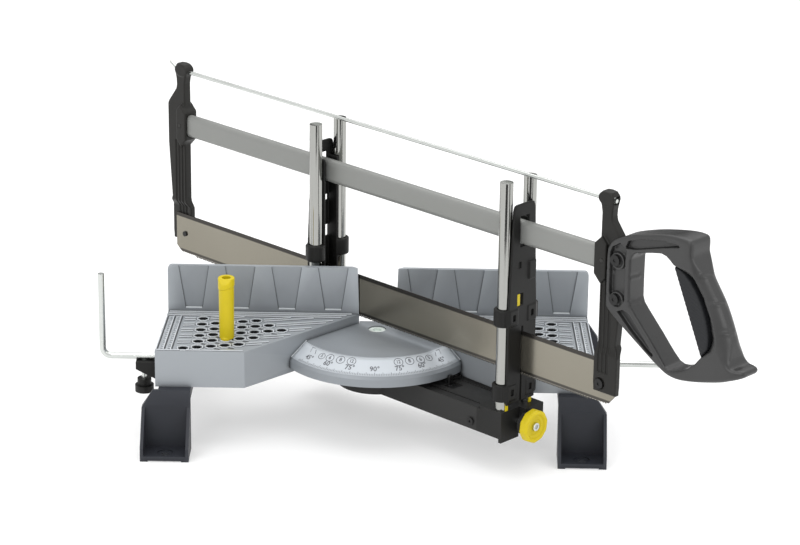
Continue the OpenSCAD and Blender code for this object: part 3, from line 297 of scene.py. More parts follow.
# What the CAD nodes are made of, where that isn't zinc-plated steel
LOOKS = [
    (ALLOY, ("left_table", "right_table")),
    (DIAL_ALLOY, ("dial_plate",)),
    (PAINT, ("cross_member", "arm_beam")),
    (FOOT, ("left_foot", "right_foot")),
    (PLASTIC, ("stop_bracket", "stop_knob", "front_end_cap", "rear_end_cap")),
    (FRAME_PAINT, ("tube_pins",)),
    (CHROME, POSTS),
    (YELLOW, ("front_catch",)),
    (SATIN, ("top_tube",)),
    (BLADE, ("saw_blade",)),
    (BLACK_OXIDE, ("blade_bolt", "blade_hook", "handle_screws", "cap_screws", "foot_screws",
                   "bridge_screws", "detent_ball", "detent_housing")),
    (NYLON, ("pivot_bush", "thrust_washer")),
    (BOLT_HEAD, ("pivot_bolt",)),
]
# Width of the bevel on the nodes' edges
BEVELS = [
    (1.0, ("stop_bracket",)),
    (0.9, ("left_foot", "right_foot", "arm_beam")),
    (0.8, ("stop_knob",)),
    (0.7, ("left_table", "right_table", "front_end_cap", "rear_end_cap", *POSTS)),
    (0.5, ("dial_plate", "cross_member")),
    (0.4, ("pivot_bolt",)),
    (0.3, ("front_catch", "handle_screws")),
    (0.2, ("blade_bolt",)),
]


def dress_nodes():
    look = {name: mat for mat, names in LOOKS for name in names}
    bevel = {name: width for width, names in BEVELS for name in names}
    for name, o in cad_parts.items():
        o.data.materials.clear()
        o.data.materials.append(look.get(name, ZINC))
        if name in bevel:
            b = o.modifiers.new("edges", "BEVEL")
            b.width = bevel[name] * MM
            b.segments = 3
            b.limit_method = "ANGLE"
            b.angle_limit = math.radians(35)
            o.modifiers.new("shading", "WEIGHTED_NORMAL").keep_sharp = True


dress_nodes()


# Mesh helpers
def to_row(p):
    """Points in the saw's own length, cross and height, in mm, to the row frame in metres."""
    s, t, z = np.asarray(p, float).T
    return np.stack([s * US.x + t * VS.x, s * US.y + t * VS.y, z], 1) * MM


def at_either_end(v, rear, places):
    """Moves a shape to its place along the saw, and turns it to face the front from the rear end."""
    if rear:
        return np.array([places[1], 0, 0]) + v * (-1, -1, 1)
    return np.array([places[0], 0, 0]) + v


def new_piece(name, verts, faces, mat, body, stands_for=None, smooth=True):
    me = bpy.data.meshes.new(name)
    me.from_pydata([tuple(v) for v in verts], [], [tuple(int(i) for i in f) for f in faces])
    me.update()
    bm = bmesh.new()
    bm.from_mesh(me)
    bmesh.ops.recalc_face_normals(bm, faces=bm.faces)
    bm.to_mesh(me)
    bm.free()
    me.polygons.foreach_set("use_smooth", [smooth] * len(me.polygons))
    me.materials.append(mat)
    o = bpy.data.objects.new(name, me)
    bpy.context.scene.collection.objects.link(o)
    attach(o, body)
    if stands_for:
        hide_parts(stands_for)


def nets(f, lo, step):
    """Mesh of the zero level of a grid of values, by naive surface nets."""
    neg = f < 0
    n = np.zeros(tuple(k - 1 for k in f.shape), np.int16)
    corners = [(i, j, k) for i in (0, 1) for j in (0, 1) for k in (0, 1)]

    def part(a, c):
        return a[c[0]:a.shape[0] - 1 + c[0], c[1]:a.shape[1] - 1 + c[1], c[2]:a.shape[2] - 1 + c[2]]

    for c in corners:
        n += part(neg, c)
    live = (n > 0) & (n < 8)
    index = np.full(live.shape, -1)
    index[live] = np.arange(live.sum())
    cells = np.argwhere(live)
    acc = np.zeros((len(cells), 3))
    cnt = np.zeros(len(cells))
    for a in corners:
        for axis in range(3):
            if a[axis]:
                continue
            b = list(a)
            b[axis] = 1
            fa = f[tuple((cells + a).T)]
            fb = f[tuple((cells + b).T)]
            m = (fa < 0) != (fb < 0)
            t = np.where(m, fa / np.where(m, fa - fb, 1), 0)
            p = np.array(a, float)[None, :] + np.outer(t, np.array(b) - np.array(a))
            acc[m] += p[m]
            cnt[m] += 1
    verts = (cells + acc / cnt[:, None]) * step + np.array(lo)
    faces = []
    for axis in range(3):
        u, v = [k for k in range(3) if k != axis]
        first = np.take(neg, range(f.shape[axis] - 1), axis)
        second = np.take(neg, range(1, f.shape[axis]), axis)
        hit = np.argwhere(first != second)
        inner = (hit[:, u] > 0) & (hit[:, v] > 0)
        hit = hit[inner & (hit[:, u] < f.shape[u] - 1) & (hit[:, v] < f.shape[v] - 1)]
        eu, ev = np.zeros(3, int), np.zeros(3, int)
        eu[u], ev[v] = 1, 1
        quad = [index[tuple((hit - d).T)] for d in (np.zeros(3, int), eu, eu + ev, ev)]
        faces.append(np.stack(quad, 1))
    return verts, np.concatenate(faces)


def curve_through(points, steps=6, closed=True):
    """Smooth curve through points (Catmull-Rom)."""
    p = np.asarray(points, float)
    k = len(p)
    out = []
    for i in range(k if closed else k - 1):
        if closed:
            a, b, c, d = p[(i - 1) % k], p[i], p[(i + 1) % k], p[(i + 2) % k]
        else:
            a, b, c, d = p[max(i - 1, 0)], p[i], p[i + 1], p[min(i + 2, k - 1)]
        for j in range(steps):
            t = j / steps
            bend, twist = 2 * a - 5 * b + 4 * c - d, 3 * b - a - 3 * c + d
            out.append(0.5 * (2 * b + (c - a) * t + bend * t * t + twist * t ** 3))
    if not closed:
        out.append(p[-1])
    return np.array(out)


def inside_by(poly, X, Y):
    """Signed distance to a polygon on a 2-D grid, negative inside."""
    poly = np.asarray(poly, float)
    d = np.full(X.shape, 1e9)
    odd = np.zeros(X.shape, bool)
    for a, b in zip(poly, np.roll(poly, -1, 0)):
        ex, ey = b - a
        wx, wy = X - a[0], Y - a[1]
        t = np.clip((wx * ex + wy * ey) / max(ex * ex + ey * ey, 1e-9), 0, 1)
        d = np.minimum(d, (wx - t * ex) ** 2 + (wy - t * ey) ** 2)
        cross = ((a[1] <= Y) & (b[1] > Y)) | ((b[1] <= Y) & (a[1] > Y))
        with np.errstate(divide="ignore", invalid="ignore"):
            xx = a[0] + (Y - a[1]) * ex / (ey if ey else 1e-9)
        odd ^= cross & (X < xx)
    return np.where(odd, -1, 1) * np.sqrt(d)


def ease(a, b, x):
    """0 below a, 1 above b, and smooth between them."""
    t = np.clip((x - a) / (b - a), 0, 1)
    return t * t * (3 - 2 * t)


def slab(d, t, half, r):
    """Rounded extrusion: d is the outline's distance, t the cross coordinate."""
    p, q = d + r, np.abs(t) - half + r
    return np.sqrt(np.maximum(p, 0) ** 2 + np.maximum(q, 0) ** 2) + np.minimum(np.maximum(p, q), 0) - r


def box2(x, half_x, y, half_y):
    """Distance to a rectangle, from coordinates measured from its middle."""
    return np.maximum(np.abs(x) - half_x, np.abs(y) - half_y)


def join_soft(a, b, k):
    h = np.clip(0.5 + 0.5 * (b - a) / k, 0, 1)
    return b + (a - b) * h - k * h * (1 - h)


def cut_soft(a, b, k):
    return -join_soft(-a, b, k)


def lattice(lo, hi, step):
    axes = [np.arange(lo[i], hi[i] + step, step) for i in range(3)]
    return np.meshgrid(*axes, indexing="ij")


# Handle, seen from the side: points along the saw and in height
OUTLINE = [
    (284.8, 193.4), (286.4, 188), (291, 183.8), (302, 176.2), (314.4, 168.4), (328.3, 159.6),
    (340.4, 152.2), (349.4, 147.8), (356.6, 145.5), (365.4, 144.8), (376.8, 145.9), (393, 149.3),
    (412, 154.5), (424, 159.2), (431.6, 162.4), (436.4, 165.2), (437.6, 168), (435.4, 170.2),
    (430.6, 170.4), (426.4, 170.2), (423.2, 171.4), (420.8, 174.6), (419.6, 180.4), (417.8, 189),
    (414.2, 198), (409, 209.6), (402.6, 221.2), (394.4, 232.8), (386.6, 244), (381.6, 251.2),
    (378.8, 257.6), (378.8, 265), (378, 270), (374.4, 272.2), (363, 272.1), (344, 269), (325.3, 264.4),
    (306.4, 258.2), (297, 253.8), (290.4, 249.4), (286.4, 243.8), (284.8, 236), (284.6, 216),
]
HOLE = [
    (311, 238), (310.8, 224), (310.8, 211), (310.9, 200), (312.6, 195.2), (317.2, 190), (334.2, 172.8),
    (348.4, 157.4), (353.4, 152.4), (358.4, 150.4), (363.6, 150.9), (370, 153), (378.6, 157.8),
    (386.4, 164.4), (391.6, 171.2), (359.4, 244.8), (354.3, 248.2), (349.6, 250.8), (343.6, 251.6),
    (331.2, 249), (318, 245.4), (312.6, 242.4),
]
PAD = [
    (359.4, 245.2), (364.6, 244), (370.6, 241.4), (377.6, 235.8), (387.8, 222.6), (395.6, 206.6),
    (399.4, 191.4), (399, 180.6), (392.2, 171.6),
]
TOP_POCKET = [
    (304.8, 246.8), (308.4, 254.4), (324, 259.6), (343.4, 263.4), (364.2, 264.8), (365.4, 263.2),
    (344, 257), (316.4, 248.4),
]
SIDE_POCKET = [
    (288.8, 240), (291, 244.6), (299, 250), (303.4, 247.8), (306.6, 244.8), (305.4, 236), (305.6, 199),
    (300.4, 191.4), (291.6, 194), (288.6, 204),
]
LOW_POCKET = [
    (298.2, 187.4), (304.4, 190.4), (311.8, 188.6), (339.6, 158.8), (338.6, 156.8), (333.6, 158.8),
    (314, 173.4),
]
POCKET_FLOOR = 6.6
SCREWS = [(296.4, 232.9), (296.6, 197.3)]
# Heights of the small ledges across the back of the grip
LEDGES = [242.2, 220.6, 197.6]
# The slot that takes the end frame, and the half widths of that slot and of the tube socket's
FRAME_SLOT = [(270, 134), (298.6, 134), (298.6, 249), (286, 268), (270, 268)]
FRAME_SLOT_HALF, SOCKET_SLOT_HALF = 4.45, 8.3


def handle_piece():
    step = 0.8
    lo, hi = (281, -16.4, 142.6), (446, 16.4, 280)
    S, T, Z = lattice(lo, hi, step)
    s2, z2 = S[:, 0, :], Z[:, 0, :]
    out = inside_by(curve_through(OUTLINE), s2, z2)
    hole = np.minimum(inside_by(HOLE, s2, z2), inside_by(PAD, s2, z2))
    d = np.maximum(out, -hole)
    # The edges are roundest on the grip, and the tail thins out to its tip
    grip = ease(168, 190, z2) * (1 - ease(236, 256, z2)) * ease(360, 378, s2)
    tail = ease(384, 412, s2) * (1 - ease(172, 196, z2))
    tip = ease(414, 444, s2) * (1 - ease(176, 184, z2))
    head = ease(345, 372, s2) * ease(244, 262, z2)
    r = 2.2 + 9.4 * grip + 1.4 * tail + 1.6 * head
    half = 11 + 2.4 * ease(340, 374, s2) + 0.8 * tail + 0.5 * head - 5.6 * tip * tip
    d, r, half = d[:, None, :], r[:, None, :], half[:, None, :]
    f = slab(d, T, half, r)
    for p in (TOP_POCKET, SIDE_POCKET, LOW_POCKET):
        pk = inside_by(p, s2, z2)[:, None, :]
        f = cut_soft(f, np.maximum(pk, POCKET_FLOOR - np.abs(T)), 0.8)
    # A boss round each screw, with a seat for its head
    for s, z in SCREWS:
        ring = np.hypot(S - s, Z - z)
        f = join_soft(f, np.maximum(ring - 7.4, np.abs(T) - 10.3), 0.8)
        f = cut_soft(f, np.maximum(ring - 5.6, 9.2 - np.abs(T)), 0.5)
    back = ease(0, 6, T + 12.5) * (1 - ease(1.5, 5.5, T)) * (1 - ease(2.5, 8, -d - 0 * T))
    for z0 in LEDGES:
        c = (Z - z0 + 0.12 * T) / 1.3
        f = f + c * np.exp(-c * c / 2) * back
    slot = inside_by(FRAME_SLOT, s2, z2)[:, None, :]
    f = np.maximum(f, -np.maximum(slot, np.abs(T) - FRAME_SLOT_HALF))
    socket = np.maximum(np.abs(Z - TUBE_Z) - 21, S - 287.6)
    f = np.maximum(f, -np.maximum(socket, np.abs(T) - SOCKET_SLOT_HALF))
    v, q = nets(f, lo, step)
    new_piece("handle_body", to_row(v), q, HANDLE, "saw", "handle")


def pad_piece():
    """The grip's soft insert, with fine cross ribs on the face that the fingers press."""
    step = 0.7
    lo, hi = (356, -15.4, 169), (402, 15.4, 248)
    S, T, Z = lattice(lo, hi, step)
    s2, z2 = S[:, 0, :], Z[:, 0, :]
    d = inside_by(curve_through(PAD[1:-1], closed=False).tolist() + [PAD[-1], PAD[0]], s2, z2) + 0.25
    f = slab(d[:, None, :], T, 12.9, 1.6)
    rib_high, rib_pitch, rib_lean = 0.12, 3.2, 0.44
    ribs = rib_high * np.cos(2 * math.pi * (z2 + rib_lean * s2) / rib_pitch)
    f = f + ribs[:, None, :]
    v, q = nets(f, lo, step)
    new_piece("grip_insert", to_row(v), q, RUBBER, "saw", "grip_pad")


handle_piece()
pad_piece()

# End frames, seen from the side: points outwards from the frame's inner edge and in height
STEM = [
    (0.6, 134), (20.2, 134), (20.2, 148), (24.6, 206), (24.8, 246), (23.6, 249.2), (12.6, 263.6),
    (11.6, 268), (12, 274), (13.4, 280), (13.4, 285.4), (10.8, 289.4), (5, 290), (0.2, 289.4),
    (-2.8, 286.2), (-3, 281.6), (-0.8, 276.4), (0.4, 270), (0.2, 248), (0.6, 206),
]
TONGUE = [(-1.6, 105.2), (24.6, 105.2), (24.6, 141), (20.2, 152), (0.6, 152), (-1.6, 141)]
SOCKET = [(-4.2, 214), (3.5, 206), (9.5, 213), (9.5, 243), (3.5, 249.6), (-4.2, 242)]
MOUTH = [(3, 283.4), (16, 286.4), (16, 278.2), (3, 279.8)]
# Middles of the channels between the ribs, and how deep they are
CHANNELS = (3.9, 8.4, 12.9)
CHANNEL_DEPTH = 1.15
BOLT_A, BOLT_Z = 6.0, 113.6


def frame_piece(name, rear):
    step = 0.6
    lo, hi = (-6, -9, 101), (26.5, 9, 292)
    A, T, Z = lattice(lo, hi, step)
    a2, z2 = A[:, 0, :], Z[:, 0, :]
    # The stem, which jogs sideways into a tongue beside the blade
    low = 1 - ease(140.5, 149, z2)
    foot = inside_by(TONGUE, a2, z2)
    d = np.minimum(inside_by(STEM, a2, z2) + 60 * (z2 < 141), foot + 60 * (z2 > 151))
    side = (-3.55 * low)[:, None, :]
    half = (4.3 - 1.35 * low)[:, None, :]
    r = 1.1
    corner = 3.0 * (1 - ease(108, 114, z2))
    f = slab(d[:, None, :] + 0 * T, T - side, half, r)
    toe = slab((foot + corner * 0.15)[:, None, :], T - side, half, r)
    f = np.maximum(f, np.where(Z > 120, -99.0, toe))
    # Ribs with channels between them on both faces
    for centre in CHANNELS:
        ch = np.abs(a2 - centre - 0.4 * low) - 1.35
        ends = np.maximum(124 - z2, z2 - 211.5)
        c2 = np.maximum(ch, ends)
        near = (T - side) + half - CHANNEL_DEPTH
        far = half - CHANNEL_DEPTH - (T - side)
        f = cut_soft(f, np.maximum(c2[:, None, :], near), 0.6)
        f = cut_soft(f, np.maximum(c2[:, None, :], far), 0.6)
    # Socket for the tube
    sock = inside_by(SOCKET, a2, z2)
    f = join_soft(f, slab(sock[:, None, :], T, 8.0, 1.6), 1.6)
    q = np.maximum(np.abs(Z - TUBE_Z) - 6.3, 0)
    tube = np.maximum(np.sqrt(q ** 2 + T ** 2) - 5.0, A - 8.9)
    f = np.maximum(f, -tube)
    # Rolled head with the slot that takes the rod's end
    roll = np.sqrt((A - 4.8) ** 2 * 0.5 + (Z - 283.2) ** 2) - 5.9
    f = join_soft(f, np.maximum(roll, np.abs(T) - 5.2), 1.2)
    if not rear:
        mouth = inside_by(MOUTH, a2, z2)
        f = cut_soft(f, np.maximum(mouth[:, None, :], np.abs(T) - 3.2), 0.4)
    f = np.maximum(f, 1.85 - np.hypot(T, Z - 281.8) + 0 * A)
    # Bolt seat and bolt hole, the tube pin's hole and those of the handle's screws
    bolt = np.hypot(A - BOLT_A, Z - BOLT_Z)
    f = cut_soft(f, np.maximum(bolt - 5.2, T + 5.7), 0.3)
    f = np.maximum(f, -(bolt - 2.55))
    pin = np.hypot(A - 4.5, Z - TUBE_Z) - 2.05
    f = np.maximum(f, -pin)
    if not rear:
        for _, z in SCREWS:
            f = np.maximum(f, 2.55 - np.hypot(A - 23.0, Z - z))
    v, q = nets(f, lo, step)
    v = to_row(at_either_end(v, rear, FRAME_S))
    new_piece(name, v, q, FRAME_PAINT, "saw", "rear_frame" if rear else "front_frame")


frame_piece("front_end_frame", False)
frame_piece("rear_end_frame", True)

# Guides: the plate seen along the saw, as points across it and in height
GUIDE_PLATE = [
    (-18.3, 66.3), (18.3, 66.3), (18.3, 157.5), (13.9, 250), (12.4, 254), (9.4, 255), (-9.4, 255),
    (-12.4, 254), (-13.9, 250), (-18.3, 157.5),
]
COLLAR_Z = (77.8, 149.5)
COLLAR_R, POST_HOLE_R = 9.0, 6.1
BLADE_SLOT_HALF, BLADE_SLOT_TOP = 1.0, 139.1
WINDOW_HALF, WINDOW_Z, WINDOW_RISE = 5.6, 229.3, 14.2


def guide_piece(name, rear):
    """Upright plate with round collars on both posts, a slot for the blade and a window for the tube."""
    step = 0.6
    lo, hi = (-9.6, -25.2, 65.6), (11.4, 25.2, 256.2)
    A, T, Z = lattice(lo, hi, step)
    plate = inside_by(GUIDE_PLATE, T[0], Z[0])
    f = slab(plate[None, :, :] + 0 * A, A - 7.5, 1.2, 0.5)
    # Two upright rails behind the plate
    for t in (-8.4, 8.4):
        rail = box2(T - t, 1.2, Z - 154.9, 85.1)
        f = np.minimum(f, np.maximum(rail, np.maximum(-4.7 - A, A - 6.5)))
    for z in COLLAR_Z:
        # Collars on both posts, necked to the plate
        for t in (-POST_T, POST_T):
            f = join_soft(f, slab(np.hypot(A, T - t) - COLLAR_R, Z - z, 8.0, 1.1), 0.8)
            neck = np.maximum(np.abs(T - t) - 7.0, np.maximum(-A, A - 7.2))
            f = join_soft(f, np.maximum(neck, np.abs(Z - z) - 7.2), 0.8)
        # A square lug in front of each, with a small pocket
        for t in (-12, 12):
            lug = box2(T - t, 5.6, Z - z, 7.4)
            f = join_soft(f, slab(lug, A - 8.0, 1.7, 0.7), 0.5)
            f = np.maximum(f, -np.maximum(box2(T - t, 1.8, Z - z, 3.0), 7.7 - A))
    # The block beside the catch
    f = np.minimum(f, slab(box2(T - 10.8, 4.5, Z - 190.7, 8.7), A - 8.4, 2.0, 0.9))
    for t in (-POST_T, POST_T):
        f = np.maximum(f, POST_HOLE_R - np.hypot(A, T - t))
    f = np.maximum(f, -np.maximum(np.abs(T) - BLADE_SLOT_HALF, Z - BLADE_SLOT_TOP))
    f = np.maximum(f, -box2(T, WINDOW_HALF, Z - WINDOW_Z, WINDOW_RISE))
    # Openings of the catch, and a small one above it
    f = np.maximum(f, -np.maximum(box2(T + 3.7, 3.7, Z - 165, 5.7), 6.0 - A))
    f = np.maximum(f, -np.maximum(box2(T + 5, 1.75, Z - 198, 3.0), 6.0 - A))
    v, q = nets(f, lo, step)
    body, node = ("guide_rear", "rear_guide") if rear else ("guide_front", "front_guide")
    new_piece(name, to_row(at_either_end(v, rear, POST_S)), q, PLASTIC, body, node)


guide_piece("front_guide_body", False)
guide_piece("rear_guide_body", True)


# Blade teeth
def teeth_piece():
    """A row of raked teeth along the lower edge, set to either side in turn."""
    pitch, deep, low = 2.8, 1.35, 93.7
    first, count = -252.0, 183
    half_t, rake, thin, set_by = 0.42, 0.92, 0.7, 0.22
    v, f = [], []
    for k in range(count):
        s = first + k * pitch
        lean = set_by if k % 2 else -set_by
        a = len(v)
        for t in (-half_t, half_t):
            v += [(s, t, low), (s + pitch, t, low), (s + pitch * rake, t * thin + lean, low - deep)]
        f += [(a, a + 1, a + 2), (a + 5, a + 4, a + 3)]
        f += [(a, a + 3, a + 4, a + 1), (a + 1, a + 4, a + 5, a + 2), (a + 2, a + 5, a + 3, a)]
    new_piece("blade_teeth", to_row(v), f, TOOTH, "saw", smooth=False)


teeth_piece()

# Cam peg: its place on the left table, the direction and size of its head's throw
PEG_AT = (-138.0, -57.3)
PEG_TURN, PEG_THROW = 77, 3.2


def peg_piece():
    """A round cam on an off-centre pin, with a collared head and a thumb ramp cut down its front."""
    step = 0.4
    lo, hi = (-12, -12, -11), (12, 13.6, 62)
    X, Y, Z = lattice(lo, hi, step)
    pin = np.maximum(np.hypot(X, Y) - 4.4, np.maximum(-10.0 - Z, Z - 3))
    turn = math.radians(PEG_TURN)
    ca, sa = math.cos(turn) * PEG_THROW, math.sin(turn) * PEG_THROW
    R = np.hypot(X - ca, Y - sa)
    lower = slab(R - 7.0 - 0.006 * (Z - 30), Z - 28.5, 27.5, 1.0)
    f = np.minimum(pin, lower)
    # The head's lower edge slants
    slope = Z - (50.4 + 0.26 * (X - ca))
    head = slab(np.maximum(R - 7.65, 0 - slope), Z - 54.0, 6.4, 0.9)
    f = join_soft(f, head, 0.6)
    f = f + 0.35 * np.exp(-(slope / 0.6) ** 2) * (R > 6)
    f = cut_soft(f, np.maximum(R - 4.1, 12 - Z), 0.5)
    ahead = -(Y - sa) * 0.97 - (X - ca) * 0.24
    ramp = (60.4 - Z) - 1.7 * (ahead - 4.3)
    f = np.maximum(f, -ramp * 0.5)
    v, q = nets(f, lo, step)
    v = v + np.array([*PEG_AT, TABLE_Z])
    new_piece("peg_body", v * MM, q, YELLOW, "peg", "cam_peg")


# Lock knob: its two faces along the saw and its facets
KNOB_BACK, KNOB_FACE = 193.6, 202.2
KNOB_FACETS = 10
KNOB_FLAT, KNOB_R = 14.9, 15.4


def knob_piece():
    """A dished knob with ten flats and a round recess for its screw."""
    step = 0.5
    lo, hi = (190.5, -17, 30), (204.5, 17, 64)
    S, T, Z = lattice(lo, hi, step)
    R = np.hypot(T, Z - LOCK_Z)
    ang = np.arctan2(Z - LOCK_Z, T) + math.radians(8)
    n = KNOB_FACETS
    flat = R * np.cos((ang + math.pi / n) % (2 * math.pi / n) - math.pi / n)
    d = np.maximum(flat - KNOB_FLAT, R - KNOB_R)
    back, face = KNOB_BACK, KNOB_FACE
    crown = 0.10 * np.maximum(S - 198.6, 0) ** 2 * 0.5
    f = slab(d + crown, S - (back + face) / 2, (face - back) / 2, 1.6)
    dish = R - 10.8
    f = cut_soft(f, np.maximum(dish - 0.5 * (S - 200.5), face - 2.1 - S), 0.9)
    step_ring = np.maximum(R - 7.2, face - 3.0 - S)
    f = cut_soft(f, step_ring, 0.6)
    v, q = nets(f, lo, step)
    new_piece("knob_body", to_row(v), q, YELLOW, "lock", "lock_knob")


def knob_screw_piece():
    """A round-headed screw with a hexagon socket."""
    step = 0.3
    lo, hi = (196.0, -5.1, 41.9), (203.1, 5.1, 52.1)
    S, T, Z = lattice(lo, hi, step)
    R = np.hypot(T, Z - LOCK_Z)
    f = slab(R - 3.9, S - 199.5, 2.3, 0.6)
    ang = np.arctan2(Z - LOCK_Z, T)
    six = R * np.cos((ang + math.pi / 6) % (math.pi / 3) - math.pi / 6)
    f = cut_soft(f, np.maximum(six - 1.9, 200.2 - S), 0.25)
    v, q = nets(f, lo, step)
    new_piece("knob_centre_screw", to_row(v), q, ZINC, "lock", "knob_screw")


peg_piece()
knob_piece()
knob_screw_piece()

# Trim: small raised forms on the tables, the arm and the dial
BOX_FACES = [(0, 1, 2, 3), (7, 6, 5, 4), (0, 4, 5, 1), (1, 5, 6, 2), (2, 6, 7, 3), (3, 7, 4, 0)]


def band_faces(p, q):
    """Faces between the four points that start at p and the four that start at q."""
    return [(p + j, p + (j + 1) % 4, q + (j + 1) % 4, q + j) for j in range(4)]


def end_faces(p, q):
    """The end faces of a band whose first four points start at p and last four at q."""
    return [(p, p + 1, p + 2, p + 3), (q + 3, q + 2, q + 1, q)]


class Trim:
    """Collects small raised bars, rings and plates into one mesh, in mm in the row frame."""

    def __init__(self, side=1):
        self.v, self.f, self.side = [], [], side

    def put(self, pts, faces):
        k = len(self.v)
        self.v += [(p[0] * self.side, p[1], p[2]) for p in pts]
        self.f += [tuple(k + i for i in f) for f in faces]

    def bar(self, a, b, w, z0, h, taper=0):
        a, b = np.array(a, float), np.array(b, float)
        d = (b - a) / max(np.linalg.norm(b - a), 1e-9)
        n = np.array((-d[1], d[0]))
        pts = []
        for z, k in ((z0, w / 2), (z0 + h, w / 2 - taper * h)):
            e = 0 if z == z0 else taper * h
            for p, s in ((a + d * e, 1), (a + d * e, -1), (b - d * e, -1), (b - d * e, 1)):
                q = p + n * k * s
                pts.append((q[0], q[1], z))
        self.put(pts, BOX_FACES)

    def ring(self, c, r0, r1, z0, h, n=32, a0=0.0, a1=2 * math.pi, taper=0):
        full = abs(a1 - a0 - 2 * math.pi) < 1e-6
        m = n if full else n + 1
        pts = []
        for i in range(m):
            a = a0 + (a1 - a0) * i / n
            for r, z in ((r0, z0), (r0 + taper * h, z0 + h), (r1 - taper * h, z0 + h), (r1, z0)):
                pts.append((c[0] + r * math.cos(a), c[1] + r * math.sin(a), z))
        faces = []
        for i in range(n):
            faces += band_faces(4 * i, 4 * ((i + 1) % m))
        if not full:
            faces += end_faces(0, 4 * n)
        self.put(pts, faces)

    def done(self, name, mat, body="base", slot="cast_alloy", stands_for=None):
        new_piece(name, np.array(self.v) * MM, self.f, mat, body, stands_for, smooth=False)


def words(text, at, size, mat, name, height, bold=0.0):
    """Raised letters on the base: text, its middle, its size, and how high and how much bolder it is."""
    c = bpy.data.curves.new(name, "FONT")
    c.body = text
    c.size = size * MM
    c.align_x = "CENTER"
    c.align_y = "CENTER"
    c.extrude = height * MM / 2
    c.offset = bold * MM
    c.resolution_u = 3
    o = bpy.data.objects.new(name + "_curve", c)
    bpy.context.scene.collection.objects.link(o)
    dg = bpy.context.evaluated_depsgraph_get()
    me = bpy.data.meshes.new_from_object(o.evaluated_get(dg))
    bpy.data.objects.remove(o)
    me.transform(Matrix.Translation(Vector(at) * MM + Vector((0, 0, height * MM / 2))))
    me.materials.clear()
    me.materials.append(mat)
    p = bpy.data.objects.new(name, me)
    bpy.context.scene.collection.objects.link(p)
    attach(p, "base")
    return p


# Peg holes of the right table, mirrored on the left: column, first row and last row
COLUMNS = [(-1, 5, 5), (0, 0, 5), (1, 1, 5), (2, 1, 5), (3, 1, 5), (4, 1, 4), (5, 2, 3), (6, 3, 3)]
COLUMN_PITCH, ROW_PITCH, COLUMN_RISE = 12.5, 14.6, 2.8
ROW_SLOPE = COLUMN_RISE / COLUMN_PITCH
# The last column of each row, and the hole that the peg stands in
ROW_ENDS = {0: 0, 1: 4, 2: 5, 3: 6, 4: 4, 5: 3}
PEG_SIDE, PEG_COLUMN, PEG_ROW = -1, 2, 4
# Heights of the ridges and of the dark strips of painted shade beside them
RIDGE_H, SHADE_H = 0.85, 0.05
# Both ends of the ruler strips, and the front edge's ridge
RULER_BACK, RULER_FRONT = 1.5, -84.6
FRONT_Y = -84.9
# The fence's face, and the grooves in it
FENCE_Y = 14.95
GROOVES, GROOVE_X, GROOVE_PITCH = 4, 42, 43.7


def peg_place(i, j):
    return 163 - COLUMN_PITCH * i, -4.5 - ROW_PITCH * j + COLUMN_RISE * i


def outer_edge(y):
    return 197.6 + 3.2 * (15 - y) / 101.9


def ridge(t, g, a, b, w, dark):
    """A ridge from a to b, and a dark strip of painted shade along its front."""
    t.bar(a, b, w, TABLE_Z, RIDGE_H, taper=0.1)
    d = (dark + w) / 2
    g.bar((a[0], a[1] - d), (b[0], b[1] - d), dark, TABLE_Z, SHADE_H)


def hole_trim(t, g, shade_walls, side):
    eighth = math.pi / 8
    for i, j0, j1 in COLUMNS:
        for j in range(j0, j1 + 1):
            c = peg_place(i, j)
            t.ring(c, 5.1, 6.1, TABLE_Z, RIDGE_H, n=8, a0=eighth, a1=eighth + 2 * math.pi, taper=0.1)
            # A dark ring of painted shade round each hole, under its ridge
            g.ring(c, 4.56, 6.3, TABLE_Z, SHADE_H, n=24)
            # Near-black walls of painted shade inside every hole but the peg's
            if (side, i, j) != (PEG_SIDE, PEG_COLUMN, PEG_ROW):
                shade_walls.ring(c, 4.2, 4.42, 90.9, 3.75)


def row_ridges(t, g):
    """Ridges that run on from each row of holes, to the inner and to the outer edge."""
    clear, off_row = 6.8, 2.4
    for j, i in ROW_ENDS.items():
        x, y = peg_place(i, j)
        for off in (-off_row, off_row):
            ax, ay = x - clear, y + off + ROW_SLOPE * clear
            bx = ax
            while bx > 20 and ay + ROW_SLOPE * (ax - bx) < 1.6:
                if (bx - 17.4) * 1.003 <= 15 - (ay + ROW_SLOPE * (ax - bx)) + 5.5:
                    break
                bx -= 0.5
            if ax - bx > 5:
                ridge(t, g, (ax, ay), (bx, ay + ROW_SLOPE * (ax - bx)), 1.0, 1.3)
        x, y = peg_place(0, j)
        for off, fall in ((-off_row, 6), (off_row, 3)):
            if j < 5:
                far = (outer_edge(y) - 18.0, y + off - ROW_SLOPE * fall)
                ridge(t, g, (x + clear, y + off), far, 1.0, 1.3)


def hole_links(t, g):
    """Short ridges between the holes of neighbouring columns."""
    for i, j0, j1 in COLUMNS[1:-1]:
        for j in range(max(j0, 1), j1 + 1):
            x, y = peg_place(i, j)
            if any(c[0] == i + 1 and c[1] <= j <= c[2] for c in COLUMNS):
                nx, ny = peg_place(i + 1, j)
                mx, my = (x + nx) / 2, (y + ny) / 2 - 7.3
                if my > -82:
                    # A dark bar of painted shade in front of each short ridge
                    g.bar((mx - 2.6, my - 0.6), (mx + 2.6, my + 0.6), 2.6, TABLE_Z, SHADE_H)
                    t.bar((mx - 2.9, my + 1.5), (mx + 2.9, my + 2.8), 0.7, TABLE_Z, RIDGE_H, taper=0.1)


